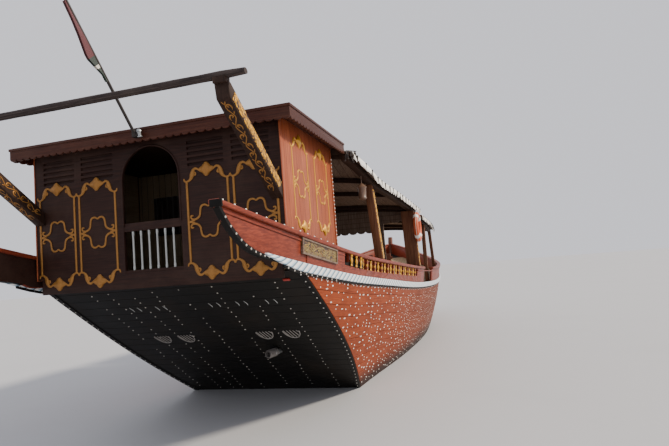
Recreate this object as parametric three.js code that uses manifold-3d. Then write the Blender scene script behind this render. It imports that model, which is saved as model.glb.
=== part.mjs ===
// A wooden dhow with a square, raked stern, built in millimetres with +Z up.
// +Y points to the bow and +X to starboard. The origin is on the centreline, at the waterline,
// straight below the aft face of the stern cabin.
import * as THREE from 'three';
import { mergeVertices } from 'three/addons/utils/BufferGeometryUtils.js';
import Module from 'manifold-3d';

const wasm = await Module();
wasm.setup();

// Clearance that two pieces keep where one rests on the other.
const GAP = 0.3;
// How far a piece runs on under a neighbour before it is cut to its seat.
const UNDER = 80;
// Reach of a cutting body that goes right across the boat.
const FAR = 4000;
const DEG = Math.PI / 180;

// The hull's lines, one row for each station.
// Columns: distance forward, half breadth at the rail, rail height, height of the bottom beside the keel,
// share of the depth that the bilge takes, and the bilge's roundness.
const STATIONS = [
  [-1600, 1700, 2910, -350, 0.13, 2.4],
  [0, 1910, 2655, -350, 0.13, 2.4],
  [2000, 2165, 2370, -350, 0.13, 2.4],
  [4000, 2370, 2200, -350, 0.15, 2.4],
  [7000, 2590, 2020, -760, 0.29, 2.1],
  [10000, 2690, 1960, -950, 0.34, 2.0],
  [12500, 2550, 2060, -930, 0.46, 1.9],
  [14500, 2080, 2270, -700, 0.75, 1.7],
  [16000, 1450, 2520, 0, 1.0, 1.6],
  [17200, 750, 2800, 1180, 1.0, 1.6],
  [18000, 110, 3020, 2260, 1.0, 1.6],
];
const HALF_RAIL = 1;
const RAIL_Z = 2;
const BOTTOM_Z = 3;
const BILGE = 4;
const ROUNDNESS = 5;

const hull = {
  flare: 0.37,
  flareBend: 1.55,
  keelHalf: 80,
  aftEnd: -200,
  foreEnd: 18000,
  spacing: 450,
  ringSteps: 9,
};

// The raked stern: a plane that runs forward as it goes down.
const stern = { topY: 320, topZ: 2110, run: 1.54, board: 60 };

const sheer = { bandDrop: 370, bandDepth: 135, bandProud: 45, bandLap: 14, deckDrop: 420, deckBoard: 40 };
const poop = { deckZ: 2250, foreY: 2250 };
const bulwark = { thick: 50, railDepth: 55, railOut: 35, railIn: 80, aftY: 300 };
const gangway = { aftY: 7200, foreY: 8550 };
const deckEndY = 17100;
// Lengths of deck between butt joints. Columns: name, aft end, forward end.
const DECKS = [
  ['helm_deck', poop.foreY, 4500],
  ['main_deck', 4500, gangway.foreY],
  ['fore_deck', gangway.foreY, 12600],
  ['bow_deck', 12600, 14850],
  ['peak_deck', 14850, deckEndY],
];
const slot = { aftY: 1500, foreY: 6300, top: 60, depth: 165, sill: 25, pitch: 400, balusterHalf: 32 };

// The wing's lower edge, as distance forward and height.
const WING_EDGE = [
  [-1480, 2822],
  [-1430, 2760],
  [-1330, 2656],
  [-1190, 2547],
  [-1030, 2452],
  [-760, 2360],
  [-290, 2285],
  [-100, 2222],
  [300, 2214],
];
const wing = { tipY: -1480, steps: 16 };

const cabin = {
  half: 1800,
  wall: 50,
  foreY: 2220,
  bottomZ: 2110,
  sillHalf: 1730,
  sillTopZ: 2305,
  eaveZ: 4052.3,
  eaveRise: 36,
};
const arch = { half: 420, springZ: 3505, sillZ: 2310 };
const louvre = { half: 250, bottomZ: 3570, topZ: 3920, centres: [800, 1410], slats: 5, depth: 30 };
const balustrade = { railLow: 2845, railHigh: 2950, count: 6, pitch: 118, stick: 16, foot: 36 };
const door = { half: 350, height: 1560, thick: 38, jamb: 8, hinge: 12, hingeZs: [255, 1240],
  foot: 25, proud: 7, strapProud: 16, strapTall: 50, handleZ: 760, handleOut: 55, handle: 16 };
const cabinWindow = { centre: 1080, half: 300, bottom: 750, top: 1300 };
const roof = { half: 1990, aftY: -160, foreY: 2300, topZ: 4105, rise: 40, thick: 55 };
const fascia = { depth: 145, thick: 30, scallop: 110, drop: 28 };

const davit = { x: 1725, width: 150, depth: 150, footZ: 3130, headY: -1290, headZ: 4010, backY: -GAP };
const crossbeam = { half: 1990, y: -1270, width: 150, height: 100 };
const staff = { footY: -235, footZ: 3990, headY: -1330, headZ: 5240, radius: 19 };
// The furled flag. Columns: share of the staff, half width, depth under the staff.
const flag = { clear: 0.6, rings: [[0.44, 12, 40], [0.6, 26, 110], [0.85, 24, 100], [0.995, 14, 60]] };

// The canopies. Columns: distance forward, half width, height of the eave.
const MAIN_CANOPY = [
  [2330, 2140, 3980],
  [2800, 2280, 3815],
  [3400, 2350, 3665],
  [4900, 2480, 3565],
  [7350, 2620, 3420],
];
const FORE_CANOPY = [
  [7500, 2640, 3280],
  [9500, 2660, 3200],
  [12600, 2480, 3180],
];
const canopy = { thick: 40, camber: 230, arcSteps: 8, fringe: 95, fringeThick: 24, beam: 84 };
// Main posts, which stand on the rail. Columns: name, distance forward, width across, depth fore and
// aft, how far the foot runs on down inside the rail, and how far the head is inboard of the plate's middle.
const POSTS = [
  ['canopy_post_1', 3390, 140, 150, 0, 50],
  ['canopy_post_2', 6750, 300, 140, 700, 65],
];
// Fore posts, which stand on the deck. Columns: name, distance forward, width across, depth fore and aft.
const FORE_POSTS = [
  ['fore_post_1', 8700, 100, 100],
  ['fore_post_2', 12300, 100, 100],
];
const post = { clear: 12, fromEdge: 25 };
const plate = { inset: 100, width: 110, drop: 85, half: 35 };

// The dark screen that closes the main canopy's forward end, with a tall opening between two posts.
const screen = { y: 7300, thick: 40, postX: 1620, post: 90, postDeep: 56, footZ: 3010, sideFootZ: 3215,
  half: 2330, scallop: 220, drop: 55 };
const bench = { aftY: 3800, foreY: 5900, outer: 2010, inner: 1560, height: 430, top: 45, leg: 60 };
const helm = { y: 3420, wide: 360, deep: 260, hubZ: 2790, over: 130, rim: 300, tube: 17, spokes: 6,
  spoke: 13, tip: 90, hub: 45, back: 75 };
const well = { half: 480, aftY: 5650, foreY: 7150, floorZ: -430 };
const hatch = { coaming: 60, height: 230, lid: 45, overlap: 30 };
const engine = { half: 330, aftY: 5810, foreY: 6990, height: 850 };

const keel = { half: 80, bottomZ: -1400, heelY: 3900, foreY: 13700, postY: 5350, shoeTopZ: -1270 };
const stem = { proud: 190, evenY: 15400, rabbet: 60,
  headY: 18420, headZ: 3330, headTall: 160, headDeep: 260 };
const screw = { y: 4980, z: -880, radius: 330, hub: 75, hubLength: 190, blades: 4, shaft: 38, pitch: 32,
  bladeRoot: 20, bladeWide: 200, bladeThick: 26 };
const rudder = { stockY: 4420, foreY: 4500, aftY: 3800, topZ: -470, bottomZ: -1240, thick: 70, stock: 45 };
const exhaust = { x: 740, z: 940, radius: 55, proud: 250 };
const bitts = { y: 15300, spread: 360, post: 160, height: 560, bar: 110, barLength: 1000, barZ: 330 };
const buoy = { x: 2583, y: 6750, z: 2975, ring: 300, tube: 62, segments: 28 };

const wood = (color, roughness = 0.6) => new THREE.MeshStandardMaterial({ color, roughness, metalness: 0 });
const looks = {
  planking: wood(0xa4491f, 0.45),
  varnish: wood(0x8a3a26, 0.5),
  dark: wood(0x33211b, 0.75),
  tar: wood(0x15110e, 0.8),
  maroon: wood(0x46221a, 0.7),
  stripe: wood(0xd7e4ea, 0.5),
  deck: wood(0x8d6e50, 0.8),
  cloth: wood(0xeeeae0, 0.9),
  steel: new THREE.MeshStandardMaterial({ color: 0x9a9c9c, roughness: 0.4, metalness: 0.9 }),
  bronze: new THREE.MeshStandardMaterial({ color: 0x8c6a34, roughness: 0.4, metalness: 0.9 }),
  iron: new THREE.MeshStandardMaterial({ color: 0x3d4a45, roughness: 0.6, metalness: 0.5 }),
  red: wood(0xa01c22, 0.9),
  orange: wood(0xd3542a, 0.6),
};

// Reads one column of a table at any distance forward, on a smooth curve through the rows.
function along(table, y, column) {
  const last = table.length - 1;
  let i = 0;
  while (i < last - 1 && y > table[i + 1][0]) i += 1;
  const slope = (a, b) => (table[b][column] - table[a][column]) / (table[b][0] - table[a][0]);
  const span = table[i + 1][0] - table[i][0];
  const t = THREE.MathUtils.clamp((y - table[i][0]) / span, 0, 1);
  const before = slope(Math.max(i - 1, 0), i + 1) * span;
  const after = slope(i, Math.min(i + 2, last)) * span;
  const low = table[i][column];
  const high = table[i + 1][column];
  const t2 = t * t;
  const t3 = t2 * t;
  const values = (2 * t3 - 3 * t2 + 1) * low + (3 * t2 - 2 * t3) * high;
  return values + (t3 - 2 * t2 + t) * before + (t3 - t2) * after;
}

const railZ = (y) => along(STATIONS, y, RAIL_Z);
const bandTopZ = (y) => railZ(y) - sheer.bandDrop;
const deckZ = (y) => railZ(y) - sheer.deckDrop;
const sternY = (z) => stern.topY + stern.run * (stern.topZ - z);

// Half breadth of the hull at a distance forward and a height.
function halfBreadth(y, z) {
  const bottom = along(STATIONS, y, BOTTOM_Z);
  const share = (z - bottom) / (railZ(y) - bottom);
  const bilge = along(STATIONS, y, BILGE);
  const power = along(STATIONS, y, ROUNDNESS);
  const flared = 1 - hull.flare * Math.pow(Math.max(1 - share, 0), hull.flareBend);
  const inBilge = THREE.MathUtils.clamp(share / bilge, 0, 1);
  const round = Math.pow(1 - Math.pow(1 - inBilge, power), 1 / power);
  const wide = along(STATIONS, y, HALF_RAIL) - hull.keelHalf;
  return hull.keelHalf + Math.max(wide * flared * round, 0);
}

// Splits a flat ring drawn across the boat into triangles that run the ring's own way round.
function splitAcross(ring) {
  const flat = ring.map((p) => new THREE.Vector2(p.x, p.z));
  const turns = Math.sign(THREE.ShapeUtils.area(flat));
  return THREE.ShapeUtils.triangulateShape(flat, []).map(([a, b, c]) => (
    Math.sign(THREE.ShapeUtils.area([flat[a], flat[b], flat[c]])) === turns ? [a, b, c] : [a, c, b]));
}

// Splits a convex ring into a fan of triangles.
const splitFan = (ring) => ring.slice(2).map((_, i) => [0, i + 1, i + 2]);

// Turns a list of rings, each an array of points, into a closed body with its faces outward.
// The quads' diagonals are mirror images on the two sides of the centreline.
function loft(rings, split = splitFan) {
  const size = rings[0].length;
  const positions = rings.flat().flatMap((p) => [p.x, p.y, p.z]);
  const faces = [];
  for (let r = 0; r < rings.length - 1; r += 1) {
    for (let i = 0; i < size; i += 1) {
      const a = r * size + i;
      const b = r * size + ((i + 1) % size);
      const onPort = rings[r][i].x + rings[r][(i + 1) % size].x < 0;
      if (onPort) faces.push([a, b, a + size], [b, b + size, a + size]);
      else faces.push([a, b, b + size], [a, b + size, a + size]);
    }
  }
  const end = (rings.length - 1) * size;
  for (const [a, b, c] of split(rings[0])) faces.push([a, c, b]);
  for (const [a, b, c] of split(rings[rings.length - 1])) faces.push([end + a, end + b, end + c]);
  const at = (i) => new THREE.Vector3().fromArray(positions, 3 * i);
  const volume = faces.reduce((sum, [a, b, c]) => sum + at(a).dot(at(b).cross(at(c))), 0);
  const order = volume > 0 ? faces : faces.map(([a, b, c]) => [a, c, b]);
  const geometry = new THREE.BufferGeometry();
  geometry.setAttribute('position', new THREE.Float32BufferAttribute(positions, 3));
  geometry.setIndex(order.flat());
  return geometry;
}

function toSolid(geometry) {
  const bare = geometry.clone();
  bare.deleteAttribute('normal');
  bare.deleteAttribute('uv');
  const merged = mergeVertices(bare, 0.001);
  const vertProperties = new Float32Array(merged.attributes.position.array);
  const triVerts = new Uint32Array(merged.index.array);
  return new wasm.Manifold(new wasm.Mesh({ numProp: 3, vertProperties, triVerts }));
}

function toGeometry(solid) {
  const { vertProperties, triVerts } = solid.getMesh();
  const geometry = new THREE.BufferGeometry();
  geometry.setAttribute('position', new THREE.BufferAttribute(vertProperties, 3));
  geometry.setIndex(new THREE.BufferAttribute(triVerts, 1));
  return geometry;
}

const join = (geometries) => toGeometry(geometries.map(toSolid).reduce((a, b) => a.add(b)));
const cut = (geometry, ...tools) => (
  toGeometry(tools.map(toSolid).reduce((a, b) => a.subtract(b), toSolid(geometry))));
const common = (a, b) => toGeometry(toSolid(a).intersect(toSolid(b)));

// A box between two corners.
function block(x0, x1, y0, y1, z0, z1) {
  const box = new THREE.BoxGeometry(x1 - x0, y1 - y0, z1 - z0);
  return box.translate((x0 + x1) / 2, (y0 + y1) / 2, (z0 + z1) / 2);
}

// An outline drawn fore and aft against height, given thickness across the boat.
function profile(points, x0, x1) {
  const shape = new THREE.Shape(points.map(([y, z]) => new THREE.Vector2(y, z)));
  const geometry = new THREE.ExtrudeGeometry(shape, { depth: x1 - x0, bevelEnabled: false });
  const turn = new THREE.Matrix4().makeBasis(
    new THREE.Vector3(0, 1, 0), new THREE.Vector3(0, 0, 1), new THREE.Vector3(1, 0, 0));
  return geometry.applyMatrix4(turn).translate(x0, 0, 0);
}

// An outline drawn across the boat against height, given thickness forward from y0.
function panel(shape, y0, y1) {
  const settings = { depth: y1 - y0, bevelEnabled: false, curveSegments: 10 };
  return new THREE.ExtrudeGeometry(shape, settings).rotateX(90 * DEG).translate(0, y1, 0);
}

// A round bar between two points.
function bar(from, to, radius, sides = 12) {
  const axis = new THREE.Vector3().subVectors(to, from);
  const geometry = new THREE.CylinderGeometry(radius, radius, axis.length(), sides);
  const up = new THREE.Vector3(0, 1, 0);
  const turn = new THREE.Quaternion().setFromUnitVectors(up, axis.clone().normalize());
  const middle = new THREE.Vector3().lerpVectors(from, to, 0.5);
  return geometry.applyQuaternion(turn).translate(middle.x, middle.y, middle.z);
}

const mirror = (geometry) => {
  const copy = geometry.clone().scale(-1, 1, 1);
  const index = Array.from(copy.index ? copy.index.array : copy.attributes.position.array.keys());
  const count = copy.index ? index.length : copy.attributes.position.count;
  const turned = [];
  for (let i = 0; i < count; i += 3) turned.push(index[i], index[i + 2], index[i + 1]);
  copy.setIndex(turned);
  return copy;
};

const spread = (from, to, count) => (
  Array.from({ length: count + 1 }, (_, i) => from + ((to - from) * i) / count));

// A plank that follows the starboard side, between two heights and two offsets from the hull's surface.
function sidePlank(ys, low, high, inner, outer) {
  return loft(ys.map((y) => {
    const [z0, z1] = [low(y), high(y)];
    const [x0, x1] = [halfBreadth(y, z0), halfBreadth(y, z1)];
    return [
      new THREE.Vector3(x0 + inner, y, z0),
      new THREE.Vector3(x0 + outer, y, z0),
      new THREE.Vector3(x1 + outer, y, z1),
      new THREE.Vector3(x1 + inner, y, z1),
    ];
  }));
}

const boat = new THREE.Group();
const add = (name, geometry, material) => {
  const mesh = new THREE.Mesh(geometry, material);
  mesh.name = name;
  boat.add(mesh);
};
const addPair = (name, geometry, material) => {
  add(`${name}_starboard`, geometry, material);
  add(`${name}_port`, mirror(geometry), material);
};

// The hull body up to a given top, with its sides moved out by grow.
function hullBody(topZ, ys, grow = 0) {
  return loft(ys.map((y) => {
    const top = topZ(y);
    const bottom = along(STATIONS, y, BOTTOM_Z) - grow;
    const side = spread(0, 90, hull.ringSteps).map((angle) => {
      const z = bottom + (top - bottom) * (1 - Math.cos(angle * DEG));
      return new THREE.Vector3(halfBreadth(y, z) + grow, y, z);
    });
    const otherSide = side.map((p) => new THREE.Vector3(-p.x, p.y, p.z)).reverse();
    return [...side, ...otherSide];
  }));
}

// The wedge aft of the raked stern plane, moved aft by back along Y.
function asternOf(back) {
  const [z0, z1] = [-1000, 3000];
  return profile([[-FAR, z0], [sternY(z0) - back, z0], [sternY(z1) - back, z1], [-FAR, z1]], -FAR, FAR);
}

const boardRun = stern.board * Math.hypot(1, stern.run);
const hullTop = (y) => (y < poop.foreY ? poop.deckZ : deckZ(y)) - sheer.deckBoard;
const aftYs = spread(hull.aftEnd, poop.foreY - 1, 6);
const foreYs = spread(poop.foreY, hull.foreEnd, (hull.foreEnd - poop.foreY) / hull.spacing);
const stationsBetween = (y0, y1) => [y0, ...hullYs.filter((y) => y > y0 + 1 && y < y1 - 1), y1];
const hullYs = [...aftYs, ...foreYs];
const wellTool = block(-well.half, well.half, well.aftY, well.foreY, well.floorZ, 3000);
const bareHull = hullBody(hullTop, hullYs);
const grownHull = hullBody((y) => hullTop(y) + GAP, hullYs, GAP);

add('hull', cut(bareHull, asternOf(-boardRun - GAP), wellTool), looks.planking);

const sternSlab = common(hullBody(hullTop, hullYs), asternOf(-boardRun));
add('transom', cut(sternSlab, asternOf(0)), looks.tar);

// Keel with its deadwood, stern post and heel, up to the hull's bottom.
const hullBottomAt = (y) => along(STATIONS, y, BOTTOM_Z);
const keelBody = profile([
  [keel.heelY, keel.bottomZ],
  [keel.foreY, keel.bottomZ],
  [keel.foreY, -400],
  [keel.postY, -400],
  [keel.postY, keel.shoeTopZ],
  [keel.heelY, keel.shoeTopZ],
], -keel.half, keel.half);
const axisPoint = (y) => new THREE.Vector3(0, y, screw.z);
const shaftEnd = keel.postY + 380;
const shaftHole = bar(axisPoint(keel.postY - 50), axisPoint(shaftEnd + 20), screw.shaft + 2);
add('keel', cut(keelBody, grownHull, shaftHole), looks.tar);

// Stem post: a curved timber that follows the bottom line up the bow and stands proud of it.
const stemSlope = (y) => (hullBottomAt(y + 5) - hullBottomAt(y - 5)) / 10;
function besideStem(y, out) {
  const length = Math.hypot(1, stemSlope(y));
  return [y + (out * stemSlope(y)) / length, hullBottomAt(y) - out / length];
}
const stemFoot = hullBottomAt(keel.foreY) - keel.bottomZ;
const stemProud = (y) => (
  THREE.MathUtils.lerp(stemFoot, stem.proud, THREE.MathUtils.smoothstep(y, keel.foreY, stem.evenY)));
const stemYs = spread(keel.foreY + 300, hull.foreEnd, 13);
const stemBody = profile([
  [keel.foreY + GAP, keel.bottomZ],
  ...stemYs.map((y) => besideStem(y, stemProud(y))),
  [stem.headY, stem.headZ - stem.headTall],
  [stem.headY, stem.headZ],
  [stem.headY - stem.headDeep, stem.headZ],
  [hull.foreEnd + 2, stem.headZ - 2 * stem.headTall],
  ...[...stemYs].reverse().map((y) => besideStem(y, -stem.rabbet)),
  [keel.foreY + GAP, hullBottomAt(keel.foreY) + stem.rabbet],
], -keel.half, keel.half);
const bowTool = hullBody((y) => railZ(y) + 60, foreYs, GAP);
add('stem_post', cut(stemBody, grownHull, bowTool), looks.varnish);

// Decks, laid inside the bulwarks.
function deckBoards(ys, top, side, depth = sheer.deckBoard - GAP) {
  return loft(ys.map((y) => {
    const [z0, z1] = [top(y) - depth, top(y)];
    const half = side(y);
    return [
      new THREE.Vector3(-half, y, z0),
      new THREE.Vector3(half, y, z0),
      new THREE.Vector3(half, y, z1),
      new THREE.Vector3(-half, y, z1),
    ];
  }));
}
const insideBulwark = (y) => Math.max(halfBreadth(y, hullTop(y)) - bulwark.thick - 3, 20);
const hatchTool = block(-well.half, well.half, well.aftY, well.foreY, 0, 3000);
const deckYs = stationsBetween(poop.foreY, deckEndY);
for (const [name, aftY, foreY] of DECKS) {
  const boards = deckBoards(stationsBetween(aftY + GAP, foreY), deckZ, insideBulwark);
  add(name, aftY < well.aftY && foreY > well.foreY ? cut(boards, hatchTool) : boards, looks.deck);
}
const deckTool = deckBoards(deckYs, (y) => deckZ(y) + GAP, () => FAR, FAR / 2);
const onDeck = (geometry) => cut(geometry, deckTool);
const poopYs = spread(cabin.wall + 60, poop.foreY - 2, 3);
add('poop_deck', deckBoards(poopYs, () => poop.deckZ, () => cabin.sillHalf), looks.deck);

// Bulwarks with a slot of turned balusters under the cap rail.
const bulwarkTop = (y) => railZ(y) - bulwark.railDepth - GAP;
const aftBulwarkYs = stationsBetween(bulwark.aftY + GAP, gangway.aftY);
const bulwarkFoot = (y) => hullTop(y) + GAP;
const aftPlank = sidePlank(aftBulwarkYs, bulwarkFoot, bulwarkTop, -bulwark.thick, 0);
const plankToolFoot = (y) => bulwarkFoot(y) - 1;
const aftPlankTool = sidePlank(aftBulwarkYs, plankToolFoot, bulwarkTop, -bulwark.thick, GAP);
const slotFoot = (y) => Math.max(railZ(y) - slot.top - slot.depth, bulwarkFoot(y) + slot.sill);
const slotYs = [...spread(slot.aftY, poop.foreY - 1, 3), ...spread(poop.foreY + slot.sill, slot.foreY, 14)];
const slotTool = sidePlank(slotYs, slotFoot, railZ, -200, 200);
const topStrip = (y0, y1) => sidePlank(spread(y0, y1, 1), (y) => slotFoot(y) - 20, bulwarkTop,
  -bulwark.thick + 4, -4);
const balusterYs = [];
for (let y = slot.aftY + slot.pitch / 2; y < slot.foreY; y += slot.pitch) balusterYs.push(y);
const aftBulwark = join([
  cut(aftPlank, slotTool),
  ...balusterYs.map((y) => topStrip(y - slot.balusterHalf, y + slot.balusterHalf)),
]);
addPair('bulwark_aft', aftBulwark, looks.varnish);

const foreBulwarkYs = stationsBetween(gangway.foreY, hull.foreEnd);
addPair('bulwark_fore', sidePlank(foreBulwarkYs, bulwarkFoot, bulwarkTop, -bulwark.thick, 0), looks.varnish);
const forePlankTool = sidePlank(foreBulwarkYs, plankToolFoot, bulwarkTop, -bulwark.thick, GAP);

// Wings: the side planking carried aft past the stern, cut to a curved lower edge.
const wingYs = spread(wing.tipY, bulwark.aftY, wing.steps);
const wingFoot = (y) => along(WING_EDGE, y, 1);
addPair('wing', sidePlank(wingYs, wingFoot, bulwarkTop, -bulwark.thick + 5, 0), looks.varnish);
const wingTool = sidePlank(wingYs, (y) => wingFoot(y) - GAP, bulwarkTop, -bulwark.thick, GAP);

// Cap rails and the striped rubbing bands.
const railFoot = (y) => railZ(y) - bulwark.railDepth;
const rail = (ys) => sidePlank(ys, railFoot, railZ, -bulwark.railIn, bulwark.railOut);
const cabinSide = block(0, cabin.half + 3, -20, cabin.foreY + 20, 2000, 4000);
const aftRailYs = [wing.tipY - 20, ...wingYs, ...aftBulwarkYs.slice(1)];
addPair('rail_aft', cut(rail(aftRailYs), cabinSide), looks.varnish);
addPair('rail_fore', rail(foreBulwarkYs), looks.varnish);
const bandFoot = (y) => bandTopZ(y) - sheer.bandDepth * THREE.MathUtils.smoothstep(y, -1100, 200);
const bandYs = [...spread(-700, bulwark.aftY, 5), ...stationsBetween(bulwark.aftY + GAP, hull.foreEnd)];
const bandRaw = sidePlank(bandYs, bandFoot, bandTopZ, -sheer.bandLap, sheer.bandProud);
addPair('rub_band', cut(bandRaw, grownHull, aftPlankTool, forePlankTool, wingTool), looks.stripe);

// Stern cabin: aft wall with an arch and four louvred vents.
const eaveZ = (y) => cabin.eaveZ + (cabin.eaveRise * y) / cabin.foreY;
function outline(points) {
  return new THREE.Shape(points.map(([x, z]) => new THREE.Vector2(x, z)));
}
const rectangle = (x0, x1, z0, z1) => [[x0, z0], [x1, z0], [x1, z1], [x0, z1]];
const aftWallShape = outline([
  [-cabin.sillHalf, cabin.bottomZ],
  [cabin.sillHalf, cabin.bottomZ],
  [cabin.sillHalf, cabin.sillTopZ],
  [cabin.half, cabin.sillTopZ],
  [cabin.half, eaveZ(0)],
  [-cabin.half, eaveZ(0)],
  [-cabin.half, cabin.sillTopZ],
  [-cabin.sillHalf, cabin.sillTopZ],
]);
const archHole = new THREE.Path();
archHole.moveTo(-arch.half, arch.sillZ);
archHole.lineTo(-arch.half, arch.springZ);
archHole.absarc(0, arch.springZ, arch.half, Math.PI, 0, true);
archHole.lineTo(arch.half, arch.sillZ);
archHole.closePath();
aftWallShape.holes.push(archHole);
const louvreCentres = louvre.centres.flatMap((x) => [-x, x]);
const slatPitch = (louvre.topZ - louvre.bottomZ) / louvre.slats;
const slatCuts = louvreCentres.flatMap((x) => spread(0, louvre.slats - 1, louvre.slats - 1).map((i) => {
  const low = louvre.bottomZ + i * slatPitch;
  return block(x - louvre.half, x + louvre.half, -1, louvre.depth, low + 12, low + slatPitch - 20);
}));
add('cabin_aft_wall', cut(panel(aftWallShape, 0, cabin.wall), ...slatCuts), looks.maroon);

// Side walls, with the eave rising a little forward.
const sideWall = profile([
  [cabin.wall + GAP, poop.deckZ + GAP],
  [cabin.foreY, poop.deckZ + GAP],
  [cabin.foreY, eaveZ(cabin.foreY)],
  [cabin.wall + GAP, eaveZ(cabin.wall)],
], cabin.half - cabin.wall, cabin.half);
const sideFoot = block(cabin.sillHalf + 2, cabin.half + 1, 0, cabin.foreY + 1, 2000, cabin.sillTopZ);
addPair('cabin_side_wall', cut(sideWall, sideFoot), looks.varnish);

// Forward wall with a doorway and two windows.
const innerHalf = cabin.half - cabin.wall - GAP;
const doorFoot = poop.deckZ + door.foot;
const foreWallY = cabin.foreY - cabin.wall;
const foreWallTop = eaveZ(foreWallY);
const foreWallShape = outline(rectangle(-innerHalf, innerHalf, poop.deckZ + GAP, foreWallTop));
const doorway = [door.half + door.jamb, doorFoot - door.jamb, doorFoot + door.height + door.jamb];
foreWallShape.holes.push(outline(rectangle(-doorway[0], ...doorway)));
const windowZs = [poop.deckZ + cabinWindow.bottom, poop.deckZ + cabinWindow.top];
for (const x of [-cabinWindow.centre, cabinWindow.centre]) {
  foreWallShape.holes.push(outline(rectangle(x - cabinWindow.half, x + cabinWindow.half, ...windowZs)));
}
const foreFoot = block(cabin.sillHalf + 2, 2000, foreWallY - 1, cabin.foreY + 1, 2000, cabin.sillTopZ);
add('cabin_fore_wall', cut(panel(foreWallShape, foreWallY, cabin.foreY), foreFoot, mirror(foreFoot)),
  looks.maroon);

// The door swings on two hinge barrels that lie against the wall's forward face.
const hingeX = -door.half - 60;
const hingeY = cabin.foreY + door.hinge + GAP;
const doorFace = cabin.foreY + door.proud;
const hingeAt = (z) => new THREE.Vector3(hingeX, hingeY, z);
const strap = (z) => join([
  block(hingeX, door.half / 2, doorFace - 1, cabin.foreY + door.strapProud, z, z + door.strapTall),
  bar(hingeAt(z), hingeAt(z + door.strapTall), door.hinge),
]);
const handleAt = (y) => new THREE.Vector3(0.8 * door.half, y, doorFoot + door.handleZ);
const cabinDoor = join([
  block(-door.half, door.half, doorFace - door.thick, doorFace, doorFoot, doorFoot + door.height),
  ...door.hingeZs.map((z) => strap(doorFoot + z)),
  bar(handleAt(cabin.foreY), handleAt(cabin.foreY + door.handleOut), door.handle),
]);
add('cabin_door', cabinDoor, looks.varnish);

// Roof slab and its scalloped fascia boards.
const roofZ = (y) => roof.topZ + (roof.rise * (y - roof.aftY)) / (roof.foreY - roof.aftY);
add('cabin_roof', profile([
  [roof.aftY, roofZ(roof.aftY) - roof.thick],
  [roof.foreY, roofZ(roof.foreY) - roof.thick],
  [roof.foreY, roofZ(roof.foreY)],
  [roof.aftY, roofZ(roof.aftY)],
], -roof.half, roof.half), looks.varnish);

// The lower edge of a board, from 0 to length, as a row of hanging half-round scallops.
function scallops(length, wide, deep, footAt) {
  const count = Math.round(length / wide);
  const step = length / count;
  const points = [];
  for (let i = 0; i < count; i += 1) {
    for (const [part, drop] of [[0, 0], [0.2, 0.8], [0.5, 1], [0.8, 0.8]]) {
      const s = (i + part) * step;
      points.push([s, footAt(s) - deep * drop]);
    }
  }
  points.push([length, footAt(length)]);
  return points;
}

// A fascia board from 0 to length, its top edge on a sloping line.
const fasciaBoard = (length, topAt) => [
  [length, topAt(length)],
  [0, topAt(0)],
  ...scallops(length, fascia.scallop, fascia.drop, (s) => topAt(s) - fascia.depth),
];
const boardAft = roof.aftY - 5;
const sideBoard = profile(fasciaBoard(roof.foreY - boardAft, (s) => roofZ(s + boardAft))
  .map(([s, z]) => [s + boardAft, z]), roof.half + GAP, roof.half + fascia.thick);
const aftBoard = outline(fasciaBoard(2 * roof.half + 2 * fascia.thick, () => roofZ(roof.aftY))
  .map(([s, z]) => [s - roof.half - fascia.thick, z]));
add('roof_fascia', join([
  sideBoard,
  mirror(sideBoard),
  panel(aftBoard, roof.aftY - fascia.thick, roof.aftY - GAP),
]), looks.varnish);

// Balustrade that closes the foot of the arch.
const lastStick = (balustrade.count - 1) / 2;
const sticks = spread(-lastStick, lastStick, balustrade.count - 1).map((i) => {
  const x = i * balustrade.pitch;
  return block(x - balustrade.stick / 2, x + balustrade.stick / 2, 10, 10 + balustrade.stick,
    arch.sillZ + GAP, balustrade.railLow + 5);
});
add('arch_balustrade', join([
  block(-arch.half + GAP, arch.half - GAP, 4, 46, balustrade.railLow, balustrade.railHigh),
  block(-arch.half + GAP, arch.half - GAP, 6, 40, arch.sillZ + GAP, arch.sillZ + balustrade.foot),
  ...sticks,
]), looks.maroon);

// Davits and the beam across their heads.
const davitLine = new THREE.Vector2(davit.headY - davit.backY, davit.headZ - davit.footZ).normalize();
const davitNormal = new THREE.Vector2(-davitLine.y, davitLine.x).multiplyScalar(davit.depth / 2);
const davitEdge = (sign, y) => {
  const z = davit.footZ + ((y - davit.backY) * davitLine.y) / davitLine.x;
  return [y, z + (sign * davit.depth) / 2 / Math.abs(davitLine.x)];
};
const davitBody = profile([
  davitEdge(-1, davit.backY),
  davitEdge(1, davit.backY),
  davitEdge(1, davit.headY),
  davitEdge(-1, davit.headY - davitNormal.x),
], davit.x - davit.width / 2, davit.x + davit.width / 2);
const beamFootZ = davit.headZ + 40;
const beamSeat = block(0, 3000, -3000, 0, beamFootZ - GAP, 5000);
addPair('davit', cut(davitBody, beamSeat), looks.dark);
add('crossbeam', block(-crossbeam.half, crossbeam.half, crossbeam.y - crossbeam.width / 2,
  crossbeam.y + crossbeam.width / 2, beamFootZ, beamFootZ + crossbeam.height), looks.dark);

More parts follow.
